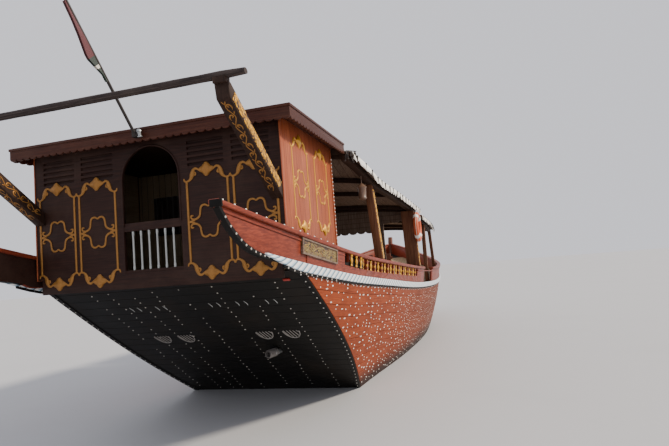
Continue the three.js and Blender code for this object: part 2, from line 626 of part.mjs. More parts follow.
// Flagstaff in a bracket on the fascia, with its furled flag and a stern lamp.
const staffFoot = new THREE.Vector3(0, staff.footY, staff.footZ);
const staffHead = new THREE.Vector3(0, staff.headY, staff.headZ);
const staffAt = (share) => new THREE.Vector3().lerpVectors(staffFoot, staffHead, share);
const fasciaFace = roof.aftY - fascia.thick - GAP;
add('flagstaff', join([
  bar(staffFoot, staffHead, staff.radius),
  block(-40, 40, staff.footY - 30, fasciaFace, staff.footZ - 10, staff.footZ + 90),
]), looks.steel);
const staffLine = new THREE.Vector3().subVectors(staffHead, staffFoot).normalize();
const underStaff = (p, x, down) => new THREE.Vector3(x, p.y - staffLine.z * down, p.z + staffLine.y * down);
const flagRing = (p, half, down) => [
  underStaff(p, -half, staff.radius + flag.clear),
  underStaff(p, half, staff.radius + flag.clear),
  underStaff(p, half, staff.radius + flag.clear + down),
  underStaff(p, -half, staff.radius + flag.clear + down),
];
add('flag', loft(flag.rings.map(([share, ...size]) => flagRing(staffAt(share), ...size))), looks.red);

// Canopies: a cambered skin over beams, whose long edges hang down as a fringe.
const canopyRows = (table) => spread(table[0][0], table[table.length - 1][0], 8);
const underSkin = (half, eave) => (
  spread(-1, 1, canopy.arcSteps).map((s) => [s * half, eave + canopy.camber * (1 - s * s)]));
function canopySkin(table) {
  return loft(canopyRows(table).map((y) => {
    const half = along(table, y, 1);
    const eave = along(table, y, 2);
    const edge = half + canopy.fringeThick;
    const low = eave - canopy.fringe;
    const under = underSkin(half, eave);
    const over = under.slice(1, -1).reverse().map(([x, z]) => [x, z + canopy.thick]);
    const section = [
      ...under,
      [half, low],
      [edge, low],
      [edge, eave + canopy.thick],
      ...over,
      [-edge, eave + canopy.thick],
      [-edge, low],
      [-half, low],
    ];
    return section.map(([x, z]) => new THREE.Vector3(x, y, z));
  }), splitAcross);
}
// Everything above a canopy's underside, moved down by the gap.
function aboveSkin(table) {
  const top = 6000;
  return loft(canopyRows(table).map((y) => {
    const under = underSkin(along(table, y, 1), along(table, y, 2) - GAP);
    const [[left], [right]] = [under[0], under[under.length - 1]];
    return [...under, [right, top], [left, top]].map(([x, z]) => new THREE.Vector3(x, y, z));
  }), splitAcross);
}
function canopyBeam(table, y, inset = 60) {
  const half = along(table, y, 1) - inset;
  const foot = along(table, y, 2) - canopy.beam - GAP;
  const top = (x) => foot + canopy.beam + canopy.camber * (1 - (x / along(table, y, 1)) ** 2);
  const across = spread(-half, half, canopy.arcSteps);
  const lower = across.map((x) => [x, top(x) - canopy.beam]);
  const upper = across.reverse().map((x) => [x, top(x)]);
  return panel(outline([...lower, ...upper]), y - plate.half, y + plate.half);
}

add('main_canopy', canopySkin(MAIN_CANOPY), looks.cloth);
add('fore_canopy', canopySkin(FORE_CANOPY), looks.cloth);

// Canopy frames: a side plate on each side over the posts, tied by cambered beams.
const mainFrame = { table: MAIN_CANOPY, beamYs: [2400, POSTS[0][1], 4850, POSTS[1][1], 7250] };
const foreFrame = { table: FORE_CANOPY, beamYs: [7600, FORE_POSTS[0][1], 10500, FORE_POSTS[1][1]] };
const plateYs = ({ beamYs }) => spread(beamYs[0] - plate.half, beamYs[beamYs.length - 1] + plate.half, 16);
const plateFoot = (table, y) => along(table, y, 2) - plate.drop;
function sidePlate(frame, side) {
  return loft(plateYs(frame).map((y) => {
    const outer = along(frame.table, y, 1) - plate.inset;
    const inner = outer - plate.width;
    const top = along(frame.table, y, 2) + canopy.camber;
    const low = plateFoot(frame.table, y);
    return [[inner, low], [outer, low], [outer, top], [inner, top]]
      .map(([x, z]) => new THREE.Vector3(side * x, y, z));
  }));
}
function canopyFrame(frame) {
  const beams = frame.beamYs.map((y) => canopyBeam(frame.table, y, plate.inset + 20));
  return cut(join([sidePlate(frame, 1), sidePlate(frame, -1), ...beams]), aboveSkin(frame.table));
}
add('main_canopy_frame', canopyFrame(mainFrame), looks.dark);
add('fore_canopy_frame', canopyFrame(foreFrame), looks.dark);

// Posts up to the side plates. Each is a straight timber between a foot and a head, cut under the plates.
function postBody({ table, beamYs }, y, foot, head, wide, deep, grow = 0) {
  const ring = ([x, z]) => [[-1, -1], [1, -1], [1, 1], [-1, 1]].map(([i, j]) => (
    new THREE.Vector3(x + i * (wide / 2 + grow), y + j * (deep / 2 + grow), z)));
  const over = loft(plateYs({ beamYs }).map((at) => {
    const low = plateFoot(table, at) - GAP;
    return [[-FAR, low], [FAR, low], [FAR, low + FAR], [-FAR, low + FAR]]
      .map(([x, z]) => new THREE.Vector3(x, at, z));
  }));
  return onDeck(cut(loft([ring(foot), ring(head)]), over));
}
const underPlate = (table, y) => (
  [along(table, y, 1) - plate.inset - plate.width / 2, plateFoot(table, y) + UNDER]);
function railPost(y, wide, deep, reach, headIn, grow = 0) {
  const footX = halfBreadth(y, railZ(y)) + bulwark.railOut - post.fromEdge - wide / 2;
  const [headX, headZ] = underPlate(MAIN_CANOPY, y);
  const body = postBody(mainFrame, y, [footX, railZ(y) - reach - UNDER], [headX - headIn, headZ],
    wide, deep, grow);
  const inner = reach > 0 ? -bulwark.railIn - GAP : -wide - UNDER;
  return cut(body, sidePlank(aftBulwarkYs, (at) => deckZ(at) - 2 * UNDER, (at) => railZ(at) + GAP,
    inner, wide));
}
function deckPost(y, wide, deep) {
  const footX = insideBulwark(y - deep / 2) - post.clear - wide / 2;
  return postBody(foreFrame, y, [footX, deckZ(y) - UNDER], underPlate(FORE_CANOPY, y), wide, deep);
}
for (const [name, ...size] of POSTS) addPair(name, railPost(...size), looks.dark);
for (const [name, ...size] of FORE_POSTS) addPair(name, deckPost(...size), looks.dark);

// Screen across the main canopy's forward end.
const screenTop = 5000;
const innerFoot = scallops(2 * screen.postX, screen.scallop, screen.drop, () => screen.footZ)
  .map(([s, z]) => [s - screen.postX, z]);
const outerFoot = scallops(screen.half - screen.postX, screen.scallop, screen.drop, () => screen.sideFootZ);
const screenShape = outline([
  [screen.half, screenTop],
  [-screen.half, screenTop],
  ...outerFoot.map(([s, z]) => [s - screen.half, z]),
  ...innerFoot.slice(1, -1),
  ...outerFoot.map(([s, z]) => [s + screen.postX, z]),
]);
const screenMid = screen.y + screen.thick / 2;
const screenPost = (x) => block(x - screen.post / 2, x + screen.post / 2, screenMid - screen.postDeep / 2,
  screenMid + screen.postDeep / 2, deckZ(screen.y) - UNDER, screenTop);
const screenWhole = join([
  panel(screenShape, screen.y, screen.y + screen.thick),
  screenPost(-screen.postX),
  screenPost(screen.postX),
]);
add('deck_screen', onDeck(cut(screenWhole, aboveSkin(MAIN_CANOPY))), looks.dark);

// Benches along both sides under the main canopy.
const benchFoot = deckZ(bench.aftY) + 2;
const benchSeat = benchFoot + bench.height;
const benchLeg = (y) => block(bench.inner + 20, bench.outer - 20, y, y + bench.leg,
  deckZ(y) - UNDER, benchSeat - bench.top + 2);
addPair('bench', onDeck(join([
  block(bench.inner, bench.outer, bench.aftY, bench.foreY, benchSeat - bench.top, benchSeat),
  ...spread(bench.aftY + 60, bench.foreY - 60 - bench.leg, 3).map(benchLeg),
])), looks.varnish);

// Steering stand.
add('helm_stand', onDeck(block(-helm.wide / 2, helm.wide / 2, helm.y, helm.y + helm.deep,
  deckZ(helm.y + helm.deep) - UNDER, helm.hubZ + helm.over)), looks.varnish);

// Steering wheel on a short shaft, turning about an axis that runs fore and aft.
const wheelY = helm.y - helm.back;
const rim = new THREE.TorusGeometry(helm.rim, helm.tube, 8, 32).rotateX(90 * DEG)
  .translate(0, wheelY, helm.hubZ);
const hubAt = (y) => new THREE.Vector3(0, y, helm.hubZ);
const spoke = (i) => {
  const angle = (i * 360 * DEG) / helm.spokes;
  const tip = new THREE.Vector3(Math.cos(angle), 0, Math.sin(angle)).multiplyScalar(helm.rim + helm.tip);
  const hub = hubAt(wheelY);
  return bar(hub, tip.add(hub), helm.spoke, 8);
};
add('steering_wheel', join([
  rim,
  bar(hubAt(wheelY - 30), hubAt(helm.y - GAP), helm.hub, 20),
  ...spread(0, helm.spokes - 1, helm.spokes - 1).map(spoke),
]), looks.varnish);

// Engine well: a coaming on the deck, a hinged lid and the engine.
const coamingTop = deckZ(well.aftY) + hatch.height;
const coamingHalf = well.half + hatch.coaming;
const coamingOuter = block(-coamingHalf, coamingHalf, well.aftY - hatch.coaming, well.foreY + hatch.coaming,
  deckZ(well.foreY + hatch.coaming) - UNDER, coamingTop);
add('engine_hatch_coaming', cut(coamingOuter, wellTool, deckTool), looks.varnish);
const lidHalf = coamingHalf + hatch.overlap;
const lidFoot = coamingTop + GAP;
add('engine_hatch_lid', block(-lidHalf, lidHalf, well.aftY - hatch.coaming - hatch.overlap,
  well.foreY + hatch.coaming + hatch.overlap, lidFoot, lidFoot + hatch.lid), looks.deck);
add('engine', block(-engine.half, engine.half, engine.aftY, engine.foreY, well.floorZ + GAP,
  well.floorZ + engine.height), looks.iron);

// Screw, its shaft and the rudder under the raked stern.
const hubAft = screw.y - screw.hubLength / 2;
const hubFore = screw.y + screw.hubLength / 2;
const blade = (i) => {
  const sheet = new THREE.BoxGeometry(screw.bladeWide, screw.bladeThick, screw.radius - screw.bladeRoot);
  sheet.translate(0, 0, (screw.radius + screw.bladeRoot) / 2);
  sheet.rotateZ(screw.pitch * DEG);
  sheet.rotateY((i * 360 * DEG) / screw.blades);
  return sheet.translate(0, screw.y, screw.z);
};
add('propeller', join([
  bar(axisPoint(hubAft), axisPoint(hubFore), screw.hub, 24),
  bar(axisPoint(hubFore - 5), axisPoint(shaftEnd), screw.shaft, 16),
  ...spread(0, screw.blades - 1, screw.blades - 1).map(blade),
]), looks.bronze);
add('rudder', join([
  block(-rudder.thick / 2, rudder.thick / 2, rudder.aftY, rudder.foreY, rudder.bottomZ, rudder.topZ),
  bar(new THREE.Vector3(0, rudder.stockY, keel.shoeTopZ + GAP),
    new THREE.Vector3(0, rudder.stockY, hullBottomAt(rudder.stockY + rudder.stock) - 8), rudder.stock, 20),
]), looks.iron);

// Exhaust pipe through the raked stern.
const pipeY = sternY(exhaust.z);
const pipeAt = (y) => new THREE.Vector3(exhaust.x, y, exhaust.z);
const pipe = bar(pipeAt(pipeY - exhaust.proud), pipeAt(pipeY + 2 * exhaust.radius), exhaust.radius, 20);
add('exhaust_pipe', common(pipe, asternOf(GAP)), looks.steel);

// Bitts on the foredeck and a life ring round a post.
const bittFoot = deckZ(bitts.y);
const bitt = (x) => block(x - bitts.post / 2, x + bitts.post / 2, bitts.y - bitts.post / 2,
  bitts.y + bitts.post / 2, bittFoot - UNDER, bittFoot + bitts.height);
add('bow_bitts', onDeck(join([
  bitt(-bitts.spread),
  bitt(bitts.spread),
  block(-bitts.barLength / 2, bitts.barLength / 2, bitts.y - bitts.bar / 2, bitts.y + bitts.bar / 2,
    bittFoot + bitts.barZ, bittFoot + bitts.barZ + bitts.bar),
])), looks.varnish);
const ring = new THREE.TorusGeometry(buoy.ring, buoy.tube, 10, buoy.segments).rotateY(90 * DEG)
  .translate(buoy.x, buoy.y, buoy.z);
const ringPost = railPost(...POSTS[1].slice(1), GAP);
add('life_ring', cut(ring, ringPost), looks.orange);

export default boat;
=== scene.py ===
"""A wooden dhow with a raked square stern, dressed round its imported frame.

Every length is in metres unless its name ends in _mm. +X is starboard, +Y is the bow and +Z is up.
The origin is on the centreline at the waterline, straight below the aft face of the stern cabin.
"""
import logging
import random
from dataclasses import dataclass
from enum import Enum
from math import ceil, cos, exp, hypot, pi, radians, sin
from typing import Callable, Iterable, Sequence

import bpy
import numpy as np
from mathutils import Matrix, Vector


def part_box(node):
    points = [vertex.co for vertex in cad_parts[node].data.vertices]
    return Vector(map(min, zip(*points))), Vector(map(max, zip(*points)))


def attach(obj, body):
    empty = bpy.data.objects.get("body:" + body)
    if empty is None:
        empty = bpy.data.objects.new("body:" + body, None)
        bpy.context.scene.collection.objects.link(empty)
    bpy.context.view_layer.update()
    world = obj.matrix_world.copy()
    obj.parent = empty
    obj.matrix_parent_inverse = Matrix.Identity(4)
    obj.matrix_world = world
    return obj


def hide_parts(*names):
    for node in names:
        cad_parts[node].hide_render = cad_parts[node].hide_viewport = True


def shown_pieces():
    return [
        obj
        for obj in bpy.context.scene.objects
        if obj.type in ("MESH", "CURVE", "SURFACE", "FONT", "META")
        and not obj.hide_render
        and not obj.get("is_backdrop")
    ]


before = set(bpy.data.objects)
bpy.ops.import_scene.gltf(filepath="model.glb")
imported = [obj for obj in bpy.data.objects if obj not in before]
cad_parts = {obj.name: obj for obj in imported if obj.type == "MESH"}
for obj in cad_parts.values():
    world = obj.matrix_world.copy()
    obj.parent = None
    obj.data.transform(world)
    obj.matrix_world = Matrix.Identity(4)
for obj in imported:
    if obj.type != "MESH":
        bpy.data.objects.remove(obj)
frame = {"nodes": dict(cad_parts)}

Material = bpy.types.Material
Node = bpy.types.Node
Piece = bpy.types.Object
Socket = bpy.types.NodeSocket
Tree = bpy.types.NodeTree

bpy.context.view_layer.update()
log = logging.getLogger("dhow")

Place = Callable[[float, float], Vector]
Pair = tuple[float, float]
Row = tuple[float, ...]
Point = tuple[float, float, float]

ORIGIN = Vector((0, 0, 0))
UP = Vector((0, 0, 1))


class Side(Enum):
    """The two sides of the boat, each with the sign of its X."""

    STARBOARD = 1
    PORT = -1

    @property
    def outward(self) -> Vector:
        """Gives the direction out of the boat on this side."""
        return Vector((self.value, 0, 0))

    def node(self, name: str) -> str:
        """Names the node or piece of a pair that lies on this side."""
        return f"{name}_{self.name.lower()}"


class Grain(Enum):
    """The axis along which the grain of a timber runs."""

    ACROSS = 0
    FORE_AND_AFT = 1
    UPRIGHT = 2


def linear(tone: str) -> tuple[float, float, float, float]:
    """Turns an sRGB hex colour to linear values.

    Args:
        tone: Six hex digits after a hash.

    Returns:
        Red, green, blue and an opacity of one.
    """
    shares = [int(tone[i:i + 2], 16) / 255 for i in (1, 3, 5)]
    red, green, blue = (c / 12.92 if c <= 0.04045 else ((c + 0.055) / 1.055) ** 2.4 for c in shares)
    return red, green, blue, 1.0


def add_node(tree: Tree, kind: str, inputs: dict | None = None, **settings: object) -> Node:
    """Adds a node with its settings and what goes into it.

    Args:
        tree: The node tree that gets it.
        kind: The node's type name.
        inputs: A value or another node's output for each socket, by name or number.
        settings: Properties of the node.

    Returns:
        The new node.
    """
    node = tree.nodes.new(kind)
    for name, value in settings.items():
        setattr(node, name, value)
    for key, value in (inputs or {}).items():
        if isinstance(value, Socket):
            tree.links.new(value, node.inputs[key])
        else:
            node.inputs[key].default_value = value
    return node


def tone_ramp(tree: Tree, share: Socket, stops: Sequence[tuple[float, str]]) -> Socket:
    """Colours a value from 0 to 1 by a row of tones.

    Args:
        tree: The node tree.
        share: The value.
        stops: Positions with their hex tones, in rising order.

    Returns:
        The colour.
    """
    ramp = add_node(tree, "ShaderNodeValToRGB", {"Fac": share})
    band = ramp.color_ramp
    while len(band.elements) < len(stops):
        band.elements.new(0.5)
    for element, (position, tone) in zip(band.elements, stops):
        element.position = position
        element.color = linear(tone)
    return ramp.outputs["Color"]


def blank(name: str, coordinates: str = "Object", **constants: object) -> tuple[Material, Tree, Node, Socket]:
    """Starts a material.

    Args:
        name: The material's name.
        coordinates: Object or UV.
        constants: Values of the shader's own sockets, with spaces written as underscores.

    Returns:
        The material, its tree, its shader and the coordinates.
    """
    material = bpy.data.materials.new(name)
    material.use_nodes = True
    tree = material.node_tree
    shader = tree.nodes["Principled BSDF"]
    for key, value in constants.items():
        shader.inputs[key.replace("_", " ")].default_value = value
    place = add_node(tree, "ShaderNodeTexCoord").outputs[coordinates]
    return material, tree, shader, place


def shaded(
        tree: Tree, shader: Node, colour: Socket, rough: tuple[Socket, float, float], height: Socket,
        relief_mm: float) -> None:
    """Sends colour, roughness and relief to a shader.

    Args:
        tree: The node tree.
        shader: The shader.
        colour: The surface's colour.
        rough: A value from 0 to 1, and the roughness at each end of it.
        height: A value from 0 to 1 that stands for the relief.
        relief_mm: The relief's depth.
    """
    span = add_node(tree, "ShaderNodeMapRange", {"Value": rough[0], "To Min": rough[1], "To Max": rough[2]})
    bump = add_node(tree, "ShaderNodeBump", {"Strength": 0.7, "Distance": relief_mm / 1000, "Height": height})
    tree.links.new(colour, shader.inputs["Base Color"])
    tree.links.new(span.outputs[0], shader.inputs["Roughness"])
    tree.links.new(bump.outputs["Normal"], shader.inputs["Normal"])


def tinted(tree: Tree, colour: Socket, share: Socket | float, tone: str) -> Socket:
    """Lays a share of a tone, from 0 to 1, over a colour."""
    mix = add_node(tree, "ShaderNodeMix", {0: share, 6: colour, 7: linear(tone)}, data_type="RGBA")
    return mix.outputs[2]


def reckoned(tree: Tree, operation: str, *values: Socket | float) -> Socket:
    """Works out a value from one or two others by a math node."""
    return add_node(tree, "ShaderNodeMath", dict(enumerate(values)), operation=operation).outputs[0]


def clouds(tree: Tree, place: Socket, scale: float, detail: float, roughness: float, bend: float = 0.0
           ) -> Socket:
    """Makes a value that drifts from 0 to 1, some scale times in a metre, with finer drifts on it."""
    return add_node(tree, "ShaderNodeTexNoise", {
        "Vector": place, "Scale": scale, "Detail": detail, "Roughness": roughness,
        "Distortion": bend}).outputs["Fac"]


def spread(tree: Tree, value: Socket, low: float = 0.0, high: float = 1.0, most: float = 1.0) -> Socket:
    """Turns the part of a value between low and high into a share from 0 to the most."""
    return add_node(tree, "ShaderNodeMapRange", {
        "Value": value, "From Min": low, "From Max": high, "To Max": most}).outputs[0]


def axes_of(tree: Tree, place: Socket) -> Sequence[Socket]:
    """Parts a place into its three coordinates."""
    return add_node(tree, "ShaderNodeSeparateXYZ", {"Vector": place}).outputs


def number_tone(tree: Tree, number: Socket) -> Socket:
    """Draws a fixed random value for a whole number."""
    return add_node(tree, "ShaderNodeTexWhiteNoise", {"W": number}, noise_dimensions="1D").outputs["Value"]


def seam_lines(tree: Tree, value: Socket, pitch: float, wide: float) -> tuple[Socket, Socket]:
    """Marks regular seams along a coordinate.

    Args:
        tree: The node tree.
        value: The coordinate.
        pitch: Distance from seam to seam.
        wide: Width of a seam.

    Returns:
        A value that is 1 in a seam and 0 elsewhere, and the number of the board.
    """
    boards = reckoned(tree, "MULTIPLY", value, 1 / pitch)
    line = reckoned(tree, "LESS_THAN", reckoned(tree, "FRACT", boards), wide / pitch)
    return line, reckoned(tree, "FLOOR", boards)


@dataclass(frozen=True)
class Timber:
    """Sawn, planed and coated hardwood: long streaks of grain, blotches where the coat is worn thin."""

    name: str
    tones: tuple[str, str, str]
    grain: Grain = Grain.FORE_AND_AFT
    grain_mm: float = 16.0
    streak_mm: float = 420.0
    roughness: Pair = (0.38, 0.62)
    coat: float = 0.0
    shine: float = 0.2
    relief_mm: float = 1.2
    blotch: str = "#6a5140"
    blotch_share: float = 0.35
    blotch_mm: float = 900.0
    board: float = 0.0
    board_axis: Grain = Grain.UPRIGHT
    seam: str = "#1a0d08"
    seam_wide: float = 0.006

    def build(self) -> Material:
        """Makes the material.

        Returns:
            The material.
        """
        material, tree, shader, place = blank(
            self.name, Coat_Weight=self.coat, Coat_Roughness=0.22, IOR=1.5, Specular_IOR_Level=self.shine)
        stretch = [1000 / self.grain_mm] * 3
        stretch[self.grain.value] = 1000 / self.streak_mm
        turned = add_node(tree, "ShaderNodeMapping", {"Vector": place, "Scale": stretch})
        height = clouds(tree, turned.outputs[0], 1.0, 5.0, 0.62, 0.6)
        low, middle, high = self.tones
        colour = tone_ramp(tree, height, [(0.3, low), (0.5, middle), (0.72, high)])
        worn = clouds(tree, place, 1000 / self.blotch_mm, 7.0, 0.66)
        colour = tinted(tree, colour, spread(tree, worn, 0.48, 0.7, self.blotch_share), self.blotch)
        if self.board:
            across = axes_of(tree, place)[self.board_axis.value]
            line, number = seam_lines(tree, across, self.board, self.seam_wide)
            colour = tinted(tree, colour, spread(tree, number_tone(tree, number), most=0.35), low)
            colour = tinted(tree, colour, line, self.seam)
            height = reckoned(tree, "SUBTRACT", height, line)
        shaded(tree, shader, colour, (worn, *self.roughness), height, self.relief_mm)
        return material


@dataclass(frozen=True)
class SidePlanking:
    """Teak strakes under years of fish oil: warm and blotched, with each strake its own tone, and darkened
    towards the bow by a painted shadow.

    The first coordinate of a strake's UV is metres forward, the second is its number plus the share
    of its width.
    """

    name: str
    tones: tuple[str, str, str] = ("#6c290b", "#8a3a13", "#a65322")
    dark: str = "#34140a"
    # Tone of the painted shadow that darkens the strakes towards the bow.
    worn: str = "#4a2c1e"
    wet: str = "#17110e"
    grain_mm: float = 11.0
    bow_shade_from: float = 4.6
    bow_shade_run: float = 5.0
    wet_heights: Pair = (0.42, 0.1)
    relief_mm: float = 1.2

    def build(self) -> Material:
        """Makes the material.

        Returns:
            The material.
        """
        material, tree, shader, place = blank(self.name, "UV", IOR=1.48, Specular_IOR_Level=0.2)
        forward, strake = axes_of(tree, place)[:2]
        stretched = add_node(tree, "ShaderNodeMapping", {
            "Vector": place, "Scale": (2.2, 190 / self.grain_mm, 1)})
        streaks = clouds(tree, stretched.outputs[0], 1.0, 6.0, 0.6, 0.4)
        low, middle, high = self.tones
        colour = tone_ramp(tree, streaks, [(0.28, low), (0.5, middle), (0.75, high)])
        tone = number_tone(tree, reckoned(tree, "FLOOR", strake))
        colour = tinted(tree, colour, spread(tree, tone, most=0.3), low)
        body = add_node(tree, "ShaderNodeTexCoord").outputs["Object"]
        stains = clouds(tree, body, 1.6, 8.0, 0.68)
        colour = tinted(tree, colour, spread(tree, stains, 0.5, 0.78, 0.5), self.dark)
        # Painted shadow: the strakes darken over a run of metres towards the bow, with a ragged edge.
        edge = reckoned(tree, "ADD", forward, stains)
        worn = spread(tree, edge, self.bow_shade_from, self.bow_shade_from + self.bow_shade_run, 0.5)
        colour = tinted(tree, colour, worn, self.worn)
        colour = tinted(tree, colour, spread(tree, axes_of(tree, body)[2], *self.wet_heights, 0.92), self.wet)
        shaded(tree, shader, colour, (stains, 0.4, 0.72), streaks, self.relief_mm)
        return material


@dataclass(frozen=True)
class CellBand:
    """Enamel on a rubbing band: white cells with a pale blue shade, parted by slanted grey-blue lines.

    The UV is metres forward and metres down.
    """

    name: str
    pitch: float = 0.135
    slant: float = 1.3
    white: str = "#f7f8f8"
    shade: str = "#a5c6dc"
    line: str = "#5c7789"
    rubbed: str = "#8b8174"

    def build(self) -> Material:
        """Makes the material.

        Returns:
            The material.
        """
        material, tree, shader, place = blank(self.name, "UV", IOR=1.5)
        forward, down = axes_of(tree, place)[:2]
        along = reckoned(tree, "ADD", forward, reckoned(tree, "MULTIPLY", down, self.slant))
        part = reckoned(tree, "FRACT", reckoned(tree, "MULTIPLY", along, 1 / self.pitch))
        colour = tone_ramp(tree, part, [
            (0.0, self.line), (0.14, self.white), (0.4, self.white), (0.8, self.shade), (0.9, self.line)])
        dirt = clouds(tree, place, 9.0, 6.0, 0.7)
        colour = tinted(tree, colour, spread(tree, dirt, 0.58, 0.8, 0.4), self.rubbed)
        shaded(tree, shader, colour, (dirt, 0.3, 0.6), dirt, 0.6)
        return material


@dataclass(frozen=True)
class Enamel:
    """Paint brushed on by hand: an even coat with brush marks, dust in the hollows and thin spots."""

    name: str
    tone: str
    worn: str
    worn_share: float = 0.4
    roughness: Pair = (0.35, 0.6)
    metallic: float = 0.0
    shine: float = 0.5
    speck_mm: float = 60.0
    relief_mm: float = 0.6

    def build(self) -> Material:
        """Makes the material.

        Returns:
            The material.
        """
        material, tree, shader, place = blank(
            self.name, Metallic=self.metallic, Specular_IOR_Level=self.shine)
        specks = clouds(tree, place, 1000 / self.speck_mm, 7.0, 0.7)
        plain = add_node(tree, "ShaderNodeRGB").outputs[0]
        plain.default_value = linear(self.tone)
        colour = tinted(tree, plain, spread(tree, specks, 0.5, 0.72, self.worn_share), self.worn)
        shaded(tree, shader, colour, (specks, *self.roughness), specks, self.relief_mm)
        return material


@dataclass(frozen=True)
class Cloth:
    """Woven cotton or bunting, matt and dusty, with a coarse weave drawn wider than it is so that it shows,
    and darker in the hollows of its folds as painted shade.

    The UV is metres along and across the cloth.
    """

    name: str
    tones: tuple[str, str]
    thread_mm: float = 3.0
    fold_mm: float = 260.0
    weave_share: float = 0.12
    relief_mm: float = 6.0
    bands: tuple[tuple[float, str], ...] = ()

    def build(self) -> Material:
        """Makes the material.

        Returns:
            The material.
        """
        material, tree, shader, place = blank(self.name, "UV", Sheen_Weight=0.25, Sheen_Roughness=0.6)
        folds = clouds(tree, place, 1000 / self.fold_mm, 6.0, 0.6)
        low, high = self.tones
        # Painted shade: the low tone sits in the hollows of the folds, the high tone on their crests.
        colour = tone_ramp(tree, folds, [(0.32, low), (0.62, high)])
        along = axes_of(tree, place)[0]
        for start, tone in self.bands:
            colour = tinted(tree, colour, reckoned(tree, "GREATER_THAN", along, start), tone)
        thread = add_node(tree, "ShaderNodeMapping", {"Vector": place, "Scale": [1000 / self.thread_mm] * 3})
        weave = add_node(tree, "ShaderNodeTexChecker", {"Vector": thread.outputs[0], "Scale": 1.0})
        relief = reckoned(tree, "MULTIPLY", weave.outputs["Fac"], self.weave_share)
        height = reckoned(tree, "ADD", relief, folds)
        shaded(tree, shader, colour, (folds, 0.8, 0.95), height, self.relief_mm)
        return material


@dataclass(frozen=True)
class CarvedGold:
    """Gilt carving drawn as running vine scrolls along the timber, darkening from the gold tops down the
    flanks into the hollows as painted shade.
    """

    name: str
    grain: Grain
    gold: str = "#d29a24"
    flank: str = "#8a5a16"
    ground: str = "#2a160c"
    leaf_mm: float = 55.0
    relief_mm: float = 6.0

    def build(self) -> Material:
        """Makes the material.

        Returns:
            The material.
        """
        material, tree, shader, place = blank(self.name)
        stretch = [1000 / self.leaf_mm] * 3
        stretch[self.grain.value] *= 0.55
        scaled = add_node(tree, "ShaderNodeMapping", {"Vector": place, "Scale": stretch})
        wander = add_node(tree, "ShaderNodeTexNoise", {
            "Vector": scaled.outputs[0], "Scale": 0.8, "Detail": 2.0})
        drift = add_node(tree, "ShaderNodeVectorMath", {
            0: wander.outputs["Color"], "Scale": 1.6}, operation="SCALE")
        bent = add_node(tree, "ShaderNodeVectorMath", {
            0: scaled.outputs[0], 1: drift.outputs[0]}, operation="ADD")
        leaves = add_node(tree, "ShaderNodeTexVoronoi", {
            "Vector": bent.outputs[0], "Scale": 1.0}, feature="DISTANCE_TO_EDGE")
        raised = spread(tree, leaves.outputs["Distance"], 0.05, 0.16)
        # Painted shade: the lower the relief, the darker, from gold through the flank tone to the ground.
        colour = tone_ramp(tree, raised, [(0.0, self.ground), (0.45, self.flank), (0.8, self.gold)])
        shaded(tree, shader, colour, (wander.outputs["Fac"], 0.32, 0.55), raised, self.relief_mm)
        return material


Finish = Timber | SidePlanking | CellBand | Enamel | Cloth | CarvedGold


class Paintshop:
    """Makes each finish's material once."""

    def __init__(self) -> None:
        """Starts with no materials."""
        self.made: dict[str, Material] = {}

    def __call__(self, finish: Finish) -> Material:
        """Gives a finish's material, made the first time it is asked for."""
        if finish.name not in self.made:
            self.made[finish.name] = finish.build()
        return self.made[finish.name]


SHOP = Paintshop()


def deselect() -> None:
    """Leaves edit mode with nothing selected, so that an operator acts on new work alone."""
    if bpy.context.object and bpy.context.object.mode != "OBJECT":
        bpy.ops.object.mode_set(mode="OBJECT")
    bpy.ops.object.select_all(action="DESELECT")


def pick(piece: Piece) -> Piece:
    """Leaves edit mode and makes one object the only selected and active one.

    Args:
        piece: The object.

    Returns:
        The same object.
    """
    deselect()
    piece.select_set(True)
    bpy.context.view_layer.objects.active = piece
    return piece


def settle(piece: Piece) -> Piece:
    """Moves an object's place, turn and size into its mesh.

    Args:
        piece: The object.

    Returns:
        The same object, at the origin.
    """
    pick(piece)
    bpy.ops.object.transform_apply(location=True, rotation=True, scale=True)
    return piece


def modify(piece: Piece, kind: str, **settings: object) -> Piece:
    """Adds a modifier and applies it.

    Args:
        piece: The object.
        kind: The modifier's type.
        settings: The modifier's properties.

    Returns:
        The same object.
    """
    pick(piece)
    modifier = piece.modifiers.new(kind.title(), kind)
    for name, value in settings.items():
        setattr(modifier, name, value)
    bpy.ops.object.modifier_apply(modifier=modifier.name)
    return piece


def eased(piece: Piece, width: float, segments: int = 2, degrees: float = 35) -> Piece:
    """Bevels the sharp edges of a piece and smooths its faces.

    Args:
        piece: The object.
        width: Width of the bevel.
        segments: Number of faces across the bevel.
        degrees: Edges sharper than this are bevelled.

    Returns:
        The same object.
    """
    modify(piece, "BEVEL", width=width, segments=segments, limit_method="ANGLE", angle_limit=radians(degrees))
    pick(piece)
    bpy.ops.object.shade_smooth_by_angle(angle=radians(degrees))
    return piece


def right_way_out(piece: Piece) -> Piece:
    """Merges doubled points and turns all faces outwards.

    Args:
        piece: The object.

    Returns:
        The same object.
    """
    pick(piece)
    bpy.ops.object.mode_set(mode="EDIT")
    bpy.ops.mesh.select_all(action="SELECT")
    bpy.ops.mesh.remove_doubles(threshold=0.0002)
    bpy.ops.mesh.normals_make_consistent(inside=False)
    bpy.ops.object.mode_set(mode="OBJECT")
    return piece


